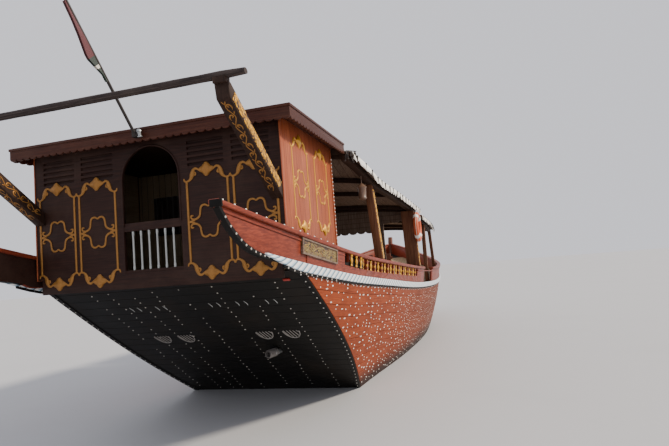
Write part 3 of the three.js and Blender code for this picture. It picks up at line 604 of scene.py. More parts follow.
def bent_grid(name: str, columns: int, rows: int, place: Place, chart: Place | None = None) -> Piece:
    """Adds a grid and bends it to a surface.

    Args:
        name: The object's name.
        columns: Number of faces along the first share.
        rows: Number of faces along the second share.
        place: Gives the point for two shares from 0 to 1.
        chart: Gives the UV for the same shares, where the plain shares won't do.

    Returns:
        The new object.
    """
    deselect()
    bpy.ops.mesh.primitive_grid_add(x_subdivisions=columns, y_subdivisions=rows, size=1)
    piece = bpy.context.object
    piece.name = name
    shares = [(v.co.x + 0.5, v.co.y + 0.5) for v in piece.data.vertices]
    if chart:
        layer = piece.data.uv_layers.active.data
        for loop in piece.data.loops:
            layer[loop.index].uv = chart(*shares[loop.vertex_index])[:2]
    for vertex, (u, v) in zip(piece.data.vertices, shares):
        vertex.co = place(u, v)
    return piece


def faced(piece: Piece, outward: Vector) -> Piece:
    """Turns an open surface over where its faces look away from a direction.

    Args:
        piece: The object.
        outward: The direction.

    Returns:
        The same object.
    """
    if sum(face.normal.dot(outward) * face.area for face in piece.data.polygons) < 0:
        pick(piece)
        bpy.ops.object.mode_set(mode="EDIT")
        bpy.ops.mesh.select_all(action="SELECT")
        bpy.ops.mesh.flip_normals()
        bpy.ops.object.mode_set(mode="OBJECT")
    return piece


def plank_between(
        name: str, columns: int, place: Place, thick: float, ease: float, outward: Vector,
        chart: Place | None = None, rows: int = 1) -> Piece:
    """Makes a plank on a curved face.

    Args:
        name: The object's name.
        columns: Number of faces along it.
        place: The point on its outer face for two shares from 0 to 1.
        thick: Its thickness, inwards from that face.
        ease: Width of its bevel.
        outward: A direction that its outer face looks to.
        chart: The UV for the same shares.
        rows: Number of faces across it.

    Returns:
        The new object.
    """
    piece = faced(bent_grid(name, columns, rows, place, chart), outward)
    modify(piece, "SOLIDIFY", thickness=thick, offset=-1.0)
    return eased(piece, ease, 1)


def timber_block(name: str, low: Sequence[float], high: Sequence[float], ease: float = 0.005) -> Piece:
    """Makes a squared timber with eased edges between two corners.

    Args:
        name: The object's name.
        low: Its lowest corner.
        high: Its highest corner.
        ease: Width of its bevel.

    Returns:
        The new object.
    """
    deselect()
    corner, far = Vector(low), Vector(high)
    bpy.ops.mesh.primitive_cube_add(size=1, location=(corner + far) / 2)
    piece = bpy.context.object
    piece.name = name
    piece.scale = far - corner
    return eased(settle(piece), ease)


def side_block(name: str, side: Side, near: Point, far: Point, ease: float) -> Piece:
    """Makes a timber block on one side, between two corners given for starboard."""
    xs = sorted((side.value * near[0], side.value * far[0]))
    return timber_block(name, (xs[0], *near[1:]), (xs[1], *far[1:]), ease)


def turned(name: str, rings: Sequence[Pair], foot: Vector, axis: Vector, sides: int = 12) -> Piece:
    """Turns a piece on the lathe.

    Args:
        name: The object's name.
        rings: Distance from the foot and radius, in order.
        foot: Where the axis starts.
        axis: The axis's direction.
        sides: Number of faces round it.

    Returns:
        The new object.
    """
    deselect()
    bpy.ops.mesh.primitive_circle_add(
        vertices=sides, radius=rings[0][1], fill_type="NGON", location=(0, 0, rings[0][0]))
    piece = settle(bpy.context.object)
    piece.name = name
    bpy.ops.object.mode_set(mode="EDIT")
    bpy.ops.mesh.select_all(action="SELECT")
    for (before, radius), (height, wider) in zip(rings, rings[1:]):
        bpy.ops.mesh.extrude_region_move(TRANSFORM_OT_translate={"value": (0, 0, height - before)})
        share = wider / radius
        bpy.ops.transform.resize(value=(share, share, 1), center_override=(0, 0, height))
    bpy.ops.object.mode_set(mode="OBJECT")
    right_way_out(piece)
    piece.matrix_world = Matrix.Translation(foot) @ axis.to_track_quat("Z", "Y").to_matrix().to_4x4()
    settle(piece)
    bpy.ops.object.shade_smooth_by_angle(angle=radians(40))
    return piece


@dataclass(frozen=True)
class Stroke:
    """One stroke of a carved scroll: points across and up, each with half the stroke's width."""

    points: tuple[Point, ...]


def carved(name: str, strokes: Iterable[Stroke], height: float, smoothness: int = 5) -> Piece:
    """Makes raised scrollwork that lies on the plane of X and Z and stands out along -Y.

    Args:
        name: The object's name.
        strokes: The strokes.
        height: How far the work stands out, as a share of each stroke's half width.
        smoothness: Number of faces from point to point.

    Returns:
        The new object.
    """
    deselect()
    line = bpy.data.curves.new(name, "CURVE")
    line.dimensions = "3D"
    line.bevel_depth = 1.0
    line.bevel_resolution = 1
    line.use_fill_caps = True
    for stroke in strokes:
        spline = line.splines.new("NURBS")
        spline.points.add(len(stroke.points) - 1)
        spline.order_u = 3
        spline.resolution_u = smoothness
        spline.use_endpoint_u = True
        for point, (x, z, half) in zip(spline.points, stroke.points):
            point.co = (x, 0, z, 1)
            point.radius = half
    piece = bpy.data.objects.new(name, line)
    bpy.context.scene.collection.objects.link(piece)
    pick(piece)
    bpy.ops.object.convert(target="MESH")
    piece = bpy.context.object
    for vertex in piece.data.vertices:
        vertex.co.y *= height
    bpy.ops.object.shade_smooth()
    return piece


def joined(name: str, parts: Sequence[Piece]) -> Piece:
    """Joins objects into one.

    Args:
        name: The new name.
        parts: The objects.

    Returns:
        The joined object.
    """
    pick(parts[0])
    for part in parts:
        part.select_set(True)
    bpy.ops.object.join()
    piece = bpy.context.object
    piece.name = name
    return piece


def scattered(name: str, seed: Piece, places: Sequence[Matrix]) -> Piece:
    """Copies one shape to many places as one mesh, and removes the first.

    Args:
        name: The new object's name.
        seed: The shape, at the origin.
        places: Where each copy goes.

    Returns:
        The new object.
    """
    count = len(seed.data.vertices)
    shape = np.ones((count, 4))
    shape[:, :3] = [v.co for v in seed.data.vertices]
    points = np.concatenate([(shape @ np.array(place).T)[:, :3] for place in places])
    faces = [tuple(p.vertices) for p in seed.data.polygons]
    mesh = bpy.data.meshes.new(name)
    copies = [tuple(i + count * n for i in face) for n in range(len(places)) for face in faces]
    mesh.from_pydata(points.tolist(), [], copies)
    mesh.update()
    piece = bpy.data.objects.new(name, mesh)
    bpy.context.scene.collection.objects.link(piece)
    bpy.data.objects.remove(seed)
    pick(piece)
    bpy.ops.object.shade_smooth_by_angle(angle=radians(50))
    return piece


def shape_at(point: Vector, normal: Vector, upward: Vector = UP, size: float = 1.0) -> Matrix:
    """Gives the place of a shape whose Z stands along a normal and whose Y looks upward.

    Args:
        point: Where its origin goes.
        normal: Where its Z points.
        upward: The direction that its Y comes nearest to.
        size: Its scale.

    Returns:
        The matrix.
    """
    z = normal.normalized()
    x = upward.cross(z).normalized()
    turn = Matrix((x, z.cross(x), z)).transposed().to_4x4()
    return Matrix.Translation(point) @ turn @ Matrix.Diagonal((size, size, size, 1))


def fitted(piece: Piece, finish: Finish, body: str = "boat", nodes: Sequence[str] = ()) -> Piece:
    """Gives a finished piece its material, slot and body.

    Args:
        piece: The object.
        finish: Its finish.
        body: The body that it rides on.
        nodes: The CAD nodes that it stands for.

    Returns:
        The same object.
    """
    piece.data.materials.clear()
    piece.data.materials.append(SHOP(finish))
    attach(piece, body)
    if nodes:
        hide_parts(*nodes)
    return piece


def dressed(node: str, finish: Finish, ease: float = 0.006, body: str = "boat",
            segments: int = 2) -> Piece:
    """Stands a copy with eased edges in for a CAD node.

    Args:
        node: The node's name.
        finish: The copy's finish.
        ease: Width of the bevel.
        body: The body that it rides on.
        segments: Number of faces across the bevel.

    Returns:
        The copy.
    """
    source = frame["nodes"][node]
    piece = bpy.data.objects.new(f"{node}_dressed", source.data.copy())
    bpy.context.scene.collection.objects.link(piece)
    piece.data.materials.clear()
    pick(piece)
    bpy.ops.object.mode_set(mode="EDIT")
    bpy.ops.mesh.select_all(action="SELECT")
    bpy.ops.mesh.remove_doubles(threshold=0.0001)
    bpy.ops.mesh.dissolve_limited(angle_limit=radians(0.4))
    bpy.ops.object.mode_set(mode="OBJECT")
    eased(piece, ease, segments, 30)
    return fitted(piece, finish, body, [node])


@dataclass(frozen=True)
class HullLines:
    """The hull's surface: one row a station, in metres forward, half breadth and height at the rail,
    height of the bottom beside the keel, the bilge's share of the depth and its roundness."""

    stations: tuple[Row, ...] = (
        (-1.6, 1.7, 2.91, -0.35, 0.13, 2.4),
        (0.0, 1.91, 2.655, -0.35, 0.13, 2.4),
        (2.0, 2.165, 2.37, -0.35, 0.13, 2.4),
        (4.0, 2.37, 2.2, -0.35, 0.15, 2.4),
        (7.0, 2.59, 2.02, -0.76, 0.29, 2.1),
        (10.0, 2.69, 1.96, -0.95, 0.34, 2.0),
        (12.5, 2.55, 2.06, -0.93, 0.46, 1.9),
        (14.5, 2.08, 2.27, -0.7, 0.75, 1.7),
        (16.0, 1.45, 2.52, 0.0, 1.0, 1.6),
        (17.2, 0.75, 2.8, 1.18, 1.0, 1.6),
        (18.0, 0.11, 3.02, 2.26, 1.0, 1.6),
    )
    flare: float = 0.37
    flare_bend: float = 1.55
    keel_half: float = 0.08
    stern_foot: Pair = (0.32, 2.11)
    stern_run: float = 1.54
    bow: float = 18.0
    band_drop: float = 0.37

    def along(self, y: float, column: int) -> float:
        """Reads a column at any distance forward, on a smooth curve through the rows.

        Args:
            y: Distance forward.
            column: The column.

        Returns:
            The value.
        """
        rows = self.stations
        last = len(rows) - 1
        i = 0
        while i < last - 1 and y > rows[i + 1][0]:
            i += 1
        span = rows[i + 1][0] - rows[i][0]
        t = min(max((y - rows[i][0]) / span, 0), 1)

        def slope(a: int, b: int) -> float:
            """Gives the mean slope between two rows."""
            return (rows[b][column] - rows[a][column]) / (rows[b][0] - rows[a][0])

        before = slope(max(i - 1, 0), i + 1) * span
        after = slope(i, min(i + 2, last)) * span
        low, high = rows[i][column], rows[i + 1][column]
        return ((2 * t ** 3 - 3 * t ** 2 + 1) * low + (t ** 3 - 2 * t ** 2 + t) * before
                + (3 * t ** 2 - 2 * t ** 3) * high + (t ** 3 - t ** 2) * after)

    def rail_z(self, y: float) -> float:
        """Gives the height of the rail's top."""
        return self.along(y, 2)

    def half_breadth(self, y: float, z: float) -> float:
        """Gives the hull's half breadth.

        Args:
            y: Distance forward.
            z: Height.

        Returns:
            The half breadth.
        """
        bottom = self.along(y, 3)
        share = (z - bottom) / (self.rail_z(y) - bottom)
        round_share = min(max(share / self.along(y, 4), 0), 1)
        power = self.along(y, 5)
        swell = (1 - (1 - round_share) ** power) ** (1 / power)
        wide = self.along(y, 1) - self.keel_half
        flared = 1 - self.flare * max(1 - share, 0) ** self.flare_bend
        return self.keel_half + max(wide * flared * swell, 0)

    def on_side(self, side: Side, y: float, z: float, out: float = 0.0) -> Vector:
        """Gives the side's point at a distance forward and a height, or a distance out from it."""
        return Vector((side.value * self.half_breadth(y, z), y, z)) + self.normal(side, y, z) * out

    def normal(self, side: Side, y: float, z: float) -> Vector:
        """Gives the direction outwards from the side.

        Args:
            side: The side of the boat.
            y: Distance forward.
            z: Height.

        Returns:
            The unit normal.
        """
        step = 0.02
        by_y = (self.half_breadth(y + step, z) - self.half_breadth(y - step, z)) / (2 * step)
        by_z = (self.half_breadth(y, z + step) - self.half_breadth(y, z - step)) / (2 * step)
        return Vector((side.value, -by_y, -by_z)).normalized()

    def stern_y(self, z: float) -> float:
        """Gives the distance forward of the raked stern's face at a height."""
        return self.stern_foot[0] + self.stern_run * (self.stern_foot[1] - z)

    def section(self, y: float, top: float, steps: int = 28) -> list[Pair]:
        """Follows the side down one section.

        Args:
            y: Distance forward.
            top: Height of the first point.
            steps: Number of steps.

        Returns:
            Half breadths and heights from the top to the keel.
        """
        bottom = self.along(y, 3) + 0.004
        heights = [bottom + (top - bottom) * cos(i * pi / 2 / steps) for i in range(steps + 1)]
        return [(self.half_breadth(y, z), z) for z in heights]

    def height_at(self, y: float, top: float, share: float) -> float:
        """Gives the height at a share of the way round the section.

        Args:
            y: Distance forward.
            top: Height where the way starts.
            share: Part of the girth from there to the keel.

        Returns:
            The height.
        """
        points = self.section(y, top)
        steps = [hypot(b[0] - a[0], b[1] - a[1]) for a, b in zip(points, points[1:])]
        left = share * sum(steps)
        for (_, high), (_, low), step in zip(points, points[1:], steps):
            if left <= step:
                return high + (low - high) * left / step
            left -= step
        return points[-1][1]


LINES = HullLines()


# Oiled teak strakes: warm brown with dark stains.
OILED = SidePlanking("oiled_teak")
# Varnished meranti, planed: red-brown and smooth, with duller patches.
BULWARK = Timber(
    "varnished_meranti", ("#5a2014", "#78301d", "#96442c"), grain_mm=18, roughness=(0.35, 0.55), coat=0.1,
    blotch="#6b3527")
# Varnished sapele boards: lighter red-brown, with thin dark seams.
CABIN_SIDE = Timber(
    "varnished_sapele", ("#7c3820", "#a05333", "#bd6d46"), Grain.UPRIGHT, grain_mm=22,
    roughness=(0.35, 0.55), coat=0.08, blotch="#7a4a36", board=0.19, board_axis=Grain.FORE_AND_AFT,
    seam="#4c2419")
# Hardwood in maroon paint, darkened almost to black as painted shade, with dusty brown patches.
SHADED_MAROON = Timber(
    "shaded_maroon_boards", ("#20110e", "#2c1813", "#38211a"), Grain.ACROSS, grain_mm=20, roughness=(0.5, 0.7),
    blotch="#4d3a30", blotch_share=0.4)
# Carved hardwood in dark varnish: red-black, greyer where it is rubbed.
FASCIA = Timber(
    "carved_fascia", ("#32160f", "#432117", "#553022"), Grain.ACROSS, grain_mm=14, roughness=(0.4, 0.6),
    blotch="#5b4338")
# Boards brushed with tar: black and half matt, with brown dust.
TAR = Timber(
    "tarred_boards", ("#070605", "#0f0d0b", "#191512"), Grain.ACROSS, grain_mm=12, roughness=(0.45, 0.75),
    blotch="#2a231d", blotch_share=0.5)
# Bare sawn edges: grey-brown and dry.
WORN = Timber("worn_edge", ("#54443a", "#75655a", "#95867a"), roughness=(0.55, 0.8))
# Birch boards, planed: pale, with dark seams.
BIRCH = Timber(
    "pale_boards", ("#8f7b60", "#a39075", "#b5a48a"), roughness=(0.5, 0.7), board=0.12,
    board_axis=Grain.ACROSS)
# Stained hardwood posts: brown-black and half matt.
DARK = Timber(
    "stained_posts", ("#1c110c", "#2d1d16", "#3e2b22"), Grain.UPRIGHT, roughness=(0.5, 0.75),
    blotch="#4a3a30")
# Oiled hardwood posts: mid brown with darker blotches.
POST = Timber(
    "brown_posts", ("#4c2c1d", "#6a432d", "#855b42"), Grain.UPRIGHT, roughness=(0.45, 0.7), blotch="#3a2a20")
# Boards left bare in the weather: grey-brown and matt.
SCREEN = Timber(
    "weathered_boards", ("#4c4038", "#6c5d53", "#85766b"), Grain.UPRIGHT, roughness=(0.6, 0.85), board=0.12)
# Sawn boards, shaded and dry: light grey-brown.
LINING = Timber(
    "canopy_boards", ("#58493f", "#7a695d", "#978679"), roughness=(0.6, 0.8), board=0.13,
    board_axis=Grain.ACROSS)
# A hewn beam left in the weather: grey-black with open grain.
BEAM = Timber(
    "weathered_beam", ("#211b1b", "#332b2b", "#554a46"), Grain.ACROSS, grain_mm=9, roughness=(0.6, 0.85),
    relief_mm=2.5, blotch="#6b5f58")
# Oiled hardwood: plain mid brown.
BROWN = Timber("oiled_hardwood", ("#43241a", "#5e3526", "#7a4a35"), Grain.UPRIGHT, roughness=(0.4, 0.6))
# Scrubbed teak: pale and dry, with black caulked seams.
DECKING = Timber(
    "scrubbed_teak", ("#7b6650", "#98805f", "#b39b7a"), grain_mm=10, roughness=(0.65, 0.85), board=0.12,
    board_axis=Grain.ACROSS, blotch="#5e4f40", seam="#1d1712")
# Brushed enamel: glossy white and pale blue cells.
BAND = CellBand("cell_band")
# Gold paint: bright yellow-brown with a soft shine.
GOLD = Enamel("gold_paint", "#cf9628", "#8a5518", roughness=(0.32, 0.55), metallic=0.35, speck_mm=40)
# Gold paint rubbed down to dull khaki.
DULL_GOLD = Enamel("rubbed_gold", "#8f7a45", "#5a4726", roughness=(0.45, 0.7), metallic=0.2, speck_mm=30)
# The gold paint browner and flatter, as painted shade for faces that stand in shade.
SHADED_GOLD = Enamel("shaded_gold", "#9a6a2c", "#5c3a16", roughness=(0.4, 0.65), metallic=0.3, speck_mm=40)
# Gilt carving: bright leaves, darkening into the hollows as painted shade.
CARVED_SIDE = CarvedGold("carved_gold_upright", Grain.UPRIGHT)
# Gilt carving, worn: dull leaves, darkening into brown hollows as painted shade.
CARVED_PLATE = CarvedGold(
    "carved_gold_plate", Grain.FORE_AND_AFT, gold="#6f5c33", ground="#33261c", leaf_mm=90)
# Enamelled nail caps: white dots.
CAPS = Enamel("white_caps", "#fff9f0", "#d8b49a", worn_share=0.3)
# Weathered nail caps: grey dots.
DULL_CAPS = Enamel("grey_caps", "#c2beb5", "#847e74")
# Galvanised iron, dulled: mid grey.
GALVANISED = Enamel("galvanised_iron", "#8e8a86", "#5c5753", roughness=(0.45, 0.7), speck_mm=40)
# Grey oil paint: light and even.
PALE = Enamel("pale_grey_paint", "#a9adab", "#6e716f", speck_mm=90)
# White oil paint: cream, browner where it is worn.
WHITE = Enamel("white_paint", "#eceae4", "#b9b1a4", speck_mm=90)
# Black oil paint: deep and half matt, with few highlights.
BLACK = Enamel("black_paint", "#0e0c0b", "#211c18", roughness=(0.4, 0.65), shine=0.15)
# Red oil paint: deep red, browner where it is worn.
RED = Enamel("red_paint", "#9c2a22", "#5c1c18")
# Dusty lamp glass: brown and fairly smooth.
LAMP = Enamel("lamp_glass", "#6b5343", "#45342a", roughness=(0.25, 0.45), speck_mm=120)
# Moulded rubber: grey and matt.
HOSE = Enamel("grey_hose", "#6e6967", "#3c3836", roughness=(0.6, 0.85), speck_mm=50)
# A blackened pole: brown-black with a faint shine.
STAFF_PAINT = Enamel("blackened_pole", "#2b2523", "#453833", roughness=(0.45, 0.7), metallic=0.3)
# Galvanised steel: bright grey metal.
STEEL = Enamel("galvanised_steel", "#a7abad", "#75797a", roughness=(0.3, 0.5), metallic=0.85)
# Cast bronze: yellow-brown metal with green-grey patches.
BRONZE = Enamel("cast_bronze", "#9a7436", "#5f6a4a", roughness=(0.3, 0.5), metallic=0.9)
# Painted iron: grey-green, rust-brown where it is worn.
IRON = Enamel("painted_iron", "#46544e", "#33281f", roughness=(0.45, 0.7), metallic=0.3)
# Antifouling paint: dull dark red.
ANTIFOULING = Enamel("antifouling", "#4b1d18", "#2b1714", roughness=(0.7, 0.9), speck_mm=150)
# Moulded foam: faded orange.
ORANGE = Enamel("moulded_orange", "#cf5a2c", "#8f4429", roughness=(0.4, 0.6), speck_mm=120)
# Laid rope: off-white and matt, with small dirt.
ROPE = Enamel("white_rope", "#d9d2c2", "#9c9382", roughness=(0.8, 0.95), speck_mm=18, relief_mm=2)
# Grey floor paint: even and matt.
FLOOR_PAINT = Enamel("floor_paint", "#b9babd", "#b2b3b6", roughness=(0.6, 0.7), speck_mm=4000, relief_mm=0.1)
# Woven cotton canvas: off-white.
CANVAS = Cloth("cotton_canvas", ("#eae5da", "#fdfbf6"))
# Dyed bunting: dark green with pale and red bands, all its tones darkened as painted shade.
BUNTING = Cloth(
    "red_bunting", ("#14261d", "#1e3529"), bands=((0.17, "#d9d4c8"), (0.21, "#15281f"), (0.31, "#54101a")))
# Frayed sacking: brown-black.
RAGS = Cloth("frayed_sacking", ("#241b16", "#3d3029"))
# Woven curtain cloth: dark brown.
CURTAIN = Cloth("brown_curtain", ("#1f1711", "#2f241b"))


@dataclass(frozen=True)
class Yard:
    """The pale floor at the waterline, the soft light, the sun on the starboard side and the camera."""

    floor: float = 240.0
    camera: Point = (3.965, -5.712, 2.2)
    lens_mm: float = 27.98
    to_port: float = 15.357
    pitch: float = 4.715
    roll: float = 4.472
    sun_from: Point = (0.78, 0.2, 0.6)
    sun_strength: float = 4.8
    sun_spread: float = 7.0
    sun_tone: str = "#fff1dd"
    sky_strength: float = 1.15
    sky_tone: str = "#e3e3ea"

    def build(self) -> None:
        """Makes the floor, the lights and the camera."""
        deselect()
        bpy.ops.mesh.primitive_plane_add(size=self.floor, location=(0, 40, 0))
        floor = settle(bpy.context.object)
        floor.name = "floor"
        floor.data.materials.append(SHOP(FLOOR_PAINT))
        floor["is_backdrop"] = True
        world = bpy.data.worlds.new("soft_sky")
        bpy.context.scene.world = world
        world.use_nodes = True
        sky = world.node_tree.nodes["Background"]
        sky.inputs["Color"].default_value = linear(self.sky_tone)
        sky.inputs["Strength"].default_value = self.sky_strength
        bpy.ops.object.light_add(type="SUN", location=(0, 0, 20))
        sun = bpy.context.object
        sun.data.energy = self.sun_strength
        sun.data.angle = radians(self.sun_spread)
        sun.data.color = linear(self.sun_tone)[:3]
        sun.rotation_euler = Vector(self.sun_from).to_track_quat("Z", "Y").to_euler()
        lens = bpy.data.cameras.new("camera")
        lens.lens = self.lens_mm
        lens.sensor_width = 36
        lens.clip_end = 500
        camera = bpy.data.objects.new("camera", lens)
        bpy.context.scene.collection.objects.link(camera)
        yaw, pitch, roll = (radians(a) for a in (self.to_port, self.pitch, self.roll))
        ahead = Vector((-sin(yaw) * cos(pitch), cos(yaw) * cos(pitch), sin(pitch)))
        level = Vector((cos(yaw), sin(yaw), 0))
        above = level.cross(ahead)
        right = level * cos(roll) - above * sin(roll)
        top = above * cos(roll) + level * sin(roll)
        camera.matrix_world = (
            Matrix.Translation(self.camera) @ Matrix((right, top, -ahead)).transposed().to_4x4())
        bpy.context.scene.camera = camera


@dataclass(frozen=True)
class HullSide:
    """The planked sides: strakes, cap nails, the striped band, wings, bulwarks and rails."""

    strakes: int = 19
    columns: int = 56
    strake_thick: float = 0.012
    proud: float = 0.009
    seam: float = 0.03
    nail_columns: float = 0.19
    nail_radius: float = 0.0135
    nail_from: float = 0.05
    band_proud: float = 0.045
    band_deep: float = 0.108
    band_swell: float = 0.04
    baluster_pitch: float = 0.2
    slot: Pair = (1.5, 6.3)
    poop: Pair = (2.25, 2.235)
    wing_foot: tuple[Pair, ...] = (
        (-1.48, 2.822), (-1.43, 2.76), (-1.33, 2.656), (-1.19, 2.547), (-1.03, 2.452), (-0.76, 2.36),
        (-0.29, 2.285), (-0.1, 2.222), (0.3, 2.214))

    def band_top(self, y: float) -> float:
        """Gives the height of the band's upper edge, which swells a little abreast of the wheel."""
        return LINES.rail_z(y) - LINES.band_drop + self.band_swell * exp(-((y - 2.8) / 2.4) ** 2)

    def band_foot(self, y: float) -> float:
        """Gives the height of the band's lower edge."""
        full = min(max((y + 1.1) / 1.3, 0), 1)
        return self.band_top(y) - self.band_deep * full * full * (3 - 2 * full)

    def aft_end(self, share: float) -> float:
        """Gives where a line at a share of the girth meets the raked stern's face.

        Args:
            share: Part of the girth from the band's foot to the keel.

        Returns:
            The distance forward.
        """
        y = 0.5
        for _ in range(12):
            y = LINES.stern_y(LINES.height_at(y, self.band_foot(y), share))
        return y

    def strake(self, side: Side, number: int) -> Piece:
        """Makes one strake from the stern to the stem.

        Args:
            side: The side of the boat.
            number: Its place, counted down from the band.

        Returns:
            The strake.
        """
        bounds = [(number + self.seam / 2) / self.strakes, (number + 1 - self.seam / 2) / self.strakes]
        starts = [self.aft_end(share) for share in bounds]

        def at(u: float, v: float) -> Vector:
            """Gives the strake's point at shares along and across it."""
            share = bounds[0] + (bounds[1] - bounds[0]) * v
            start = starts[0] + (starts[1] - starts[0]) * v
            y = start + (LINES.bow - start) * u
            return LINES.on_side(side, y, LINES.height_at(y, self.band_foot(y), share), self.proud)

        def chart(u: float, v: float) -> Vector:
            """Gives the UV: metres forward, and the strake's number with the share across it."""
            return Vector((starts[0] + (LINES.bow - starts[0]) * u, number + v, 0))

        return plank_between(
            side.node(f"strake_{number + 1}"), self.columns, at, self.strake_thick, 0.003, side.outward,
            chart, 2)

    def planking(self, side: Side) -> None:
        """Lays all the strakes of one side."""
        strakes = [self.strake(side, number) for number in range(self.strakes)]
        fitted(joined(side.node("planking"), strakes), OILED)

    def cap_seed(self) -> Piece:
        """Makes the domed cap of a nail, standing along Z."""
        r = self.nail_radius
        return turned("cap", [(-0.004, r), (0.002, r * 0.92), (0.0055, r * 0.55)], ORIGIN, UP, 7)

    def nails(self, side: Side) -> None:
        """Drives the white-capped nails in their uneven columns.

        Args:
            side: The side of the boat.
        """
        dice = random.Random(7 if side is Side.STARBOARD else 11)
        places = []
        y = 0.35
        while y < LINES.bow - 0.5:
            top = self.band_foot(y)
            z = top - 0.05
            while z > self.nail_from:
                for _ in range(1 if dice.random() < 0.62 else 2):
                    at_y = y + dice.uniform(-0.03, 0.03)
                    if LINES.stern_y(z) + 0.05 < at_y and (y < 9.6 or dice.random() < 0.35):
                        point = LINES.on_side(side, at_y, z, self.proud)
                        size = dice.uniform(0.7, 1.1) * (1 - 0.35 * min(max((y - 4) / 4, 0), 1))
                        places.append(shape_at(point, LINES.normal(side, at_y, z), size=size))
                z -= dice.choice((0.05, 0.09, 0.13, 0.17))
            y += self.nail_columns * dice.uniform(0.75, 1.25)
        y = 0.15
        while y < LINES.bow - 0.3:
            z = self.band_foot(y) - 0.035
            places.append(shape_at(LINES.on_side(side, y, z, self.proud), LINES.normal(side, y, z), size=0.8))
            y += dice.uniform(0.15, 0.24)
        fitted(scattered(side.node("cap_nails"), self.cap_seed(), places), CAPS)

    def band(self, side: Side) -> None:
        """Fits the striped rubbing band and the black moulding under it.

        Args:
            side: The side of the boat.
        """
        start = -0.68

        def y_at(u: float) -> float:
            """Gives the distance forward at a share of the band."""
            return start + (LINES.bow - 0.02 - start) * u

        def at(u: float, v: float) -> Vector:
            """Gives the point on the band's outer face."""
            y = y_at(u)
            z = self.band_top(y) + (self.band_foot(y) - self.band_top(y)) * v
            return LINES.on_side(side, y, z, self.band_proud)

        def chart(u: float, v: float) -> Vector:
            """Gives the UV in metres forward and down."""
            return Vector((y_at(u), v * self.band_deep, 0))

        name = side.node("rub_band")
        piece = plank_between(f"{name}_cells", 90, at, self.band_proud - 0.001, 0.008, side.outward, chart, 2)
        fitted(piece, BAND, nodes=[name])

        def lip(u: float, v: float) -> Vector:
            """Gives the point on the black moulding under the band."""
            y = -0.3 + (LINES.bow + 0.28) * u
            z = self.band_foot(y) - 0.002 - 0.03 * v
            return LINES.on_side(side, y, z, 0.03)

        moulding = plank_between(side.node("band_moulding"), 80, lip, 0.029, 0.006, side.outward)
        fitted(moulding, BLACK)

    def slot_foot(self, y: float) -> float:
        """Gives the height of the lower edge of the balusters' slot."""
        return LINES.rail_z(y) - 0.225

    def slot_inlay(self, side: Side) -> None:
        """Backs the slot with black boards, as painted shadow, where the poop's edge stands behind it.

        Args:
            side: The side of the boat.
        """
        start, end = self.slot[0], self.poop[0] + 0.01

        def place(u: float, v: float) -> Vector:
            """Gives the inlay's point at shares along and across it."""
            y = start + (end - start) * u
            low = self.slot_foot(y)
            return LINES.on_side(side, y, self.poop[1] + 0.002 + (low - self.poop[1] - 0.002) * v, 0.004)

        def backing(u: float, v: float) -> Vector:
            """Gives the point on the boards behind the slot."""
            y = start - 0.02 + (end - start + 0.02) * u
            high = LINES.rail_z(y) - 0.05
            return LINES.on_side(side, y, high + (self.poop[1] - 0.015 - high) * v, -0.051)

        # Both boards are black as painted shadow in the slot.
        piece = plank_between(side.node("slot_inlay"), 10, place, 0.004, 0.001, side.outward)
        fitted(piece, BLACK)
        board = plank_between(side.node("slot_backing"), 10, backing, 0.006, 0.001, side.outward)
        fitted(board, BLACK)

    def balusters(self, side: Side) -> None:
        """Turns the row of gilt balusters in the slot under the rail.

        Args:
            side: The side of the boat.
        """
        rings = [(0, 0.03), (0.012, 0.034), (0.03, 0.018), (0.06, 0.034), (0.085, 0.04), (0.11, 0.026),
                 (0.135, 0.02), (0.15, 0.034), (0.165, 0.03)]
        seed = turned("baluster", rings, ORIGIN, UP, 8)
        for vertex in seed.data.vertices:
            vertex.co.y *= 0.6
        places = []
        y = self.slot[0] + self.baluster_pitch
        while y < self.slot[1] - 0.05:
            z = self.slot_foot(y)
            inward = Vector((side.value * (0.022 if y < self.poop[0] else -0.02), 0, 0))
            point = LINES.on_side(side, y, z, 0) + inward
            tilt = LINES.on_side(side, y, z + 0.16, 0) - LINES.on_side(side, y, z, 0)
            stretch = (LINES.rail_z(y) - 0.06 - z) / 0.165
            places.append(shape_at(point, tilt, side.outward) @ Matrix.Diagonal((1, 1, stretch, 1)))
            y += self.baluster_pitch
        fitted(scattered(side.node("balusters"), seed, places), GOLD)

    def upper_works(self, side: Side) -> None:
        """Dresses the wing, bulwarks and rails and fits the bead under the rail.

        Args:
            side: The side of the boat.
        """
        for name in ("wing", "bulwark_aft", "bulwark_fore"):
            dressed(side.node(name), BULWARK, 0.005)
        for name in ("rail_aft", "rail_fore"):
            dressed(side.node(name), BULWARK, 0.014, segments=3)

        spans = (("aft", -1.45, self.slot[0] - 0.015), ("fore", self.slot[1] + 0.015, LINES.bow - 0.1))
        for word, start, end in spans:
            def lip(u: float, v: float) -> Vector:
                """Gives the point on the bead along the bulwark, under the rail."""
                y = start + (end - start) * u
                z = LINES.rail_z(y) - 0.085 - 0.022 * v
                return LINES.on_side(side, y, z, 0.012)

            bead = plank_between(side.node(f"rail_bead_{word}"), 50, lip, 0.012, 0.004, side.outward)
            fitted(bead, BULWARK)

    def sheer_strakes(self, side: Side) -> None:
        """Lays the two strakes abreast of the cabin, between the rail and the band.

        Args:
            side: The side of the boat.
        """
        aft, slot_aft, poop_fore = 0.3, self.slot[0] - 0.015, self.poop[0] + 0.03
        rows = ((aft, slot_aft, 0.0, 0.48), (aft, slot_aft, 0.495, 1.0), (slot_aft, poop_fore, 0.0, 1.0))
        for number, (start, end, high, low) in enumerate(rows):
            def place(u: float, v: float) -> Vector:
                """Gives the strake's point at shares along and across it."""
                y = start + (end - start) * u
                top = LINES.rail_z(y) - 0.06 if number < 2 else self.slot_foot(y) - 0.002
                z = top + (self.band_top(y) - 0.004 - top) * (high + (low - high) * v)
                return LINES.on_side(side, y, z, 0.006)

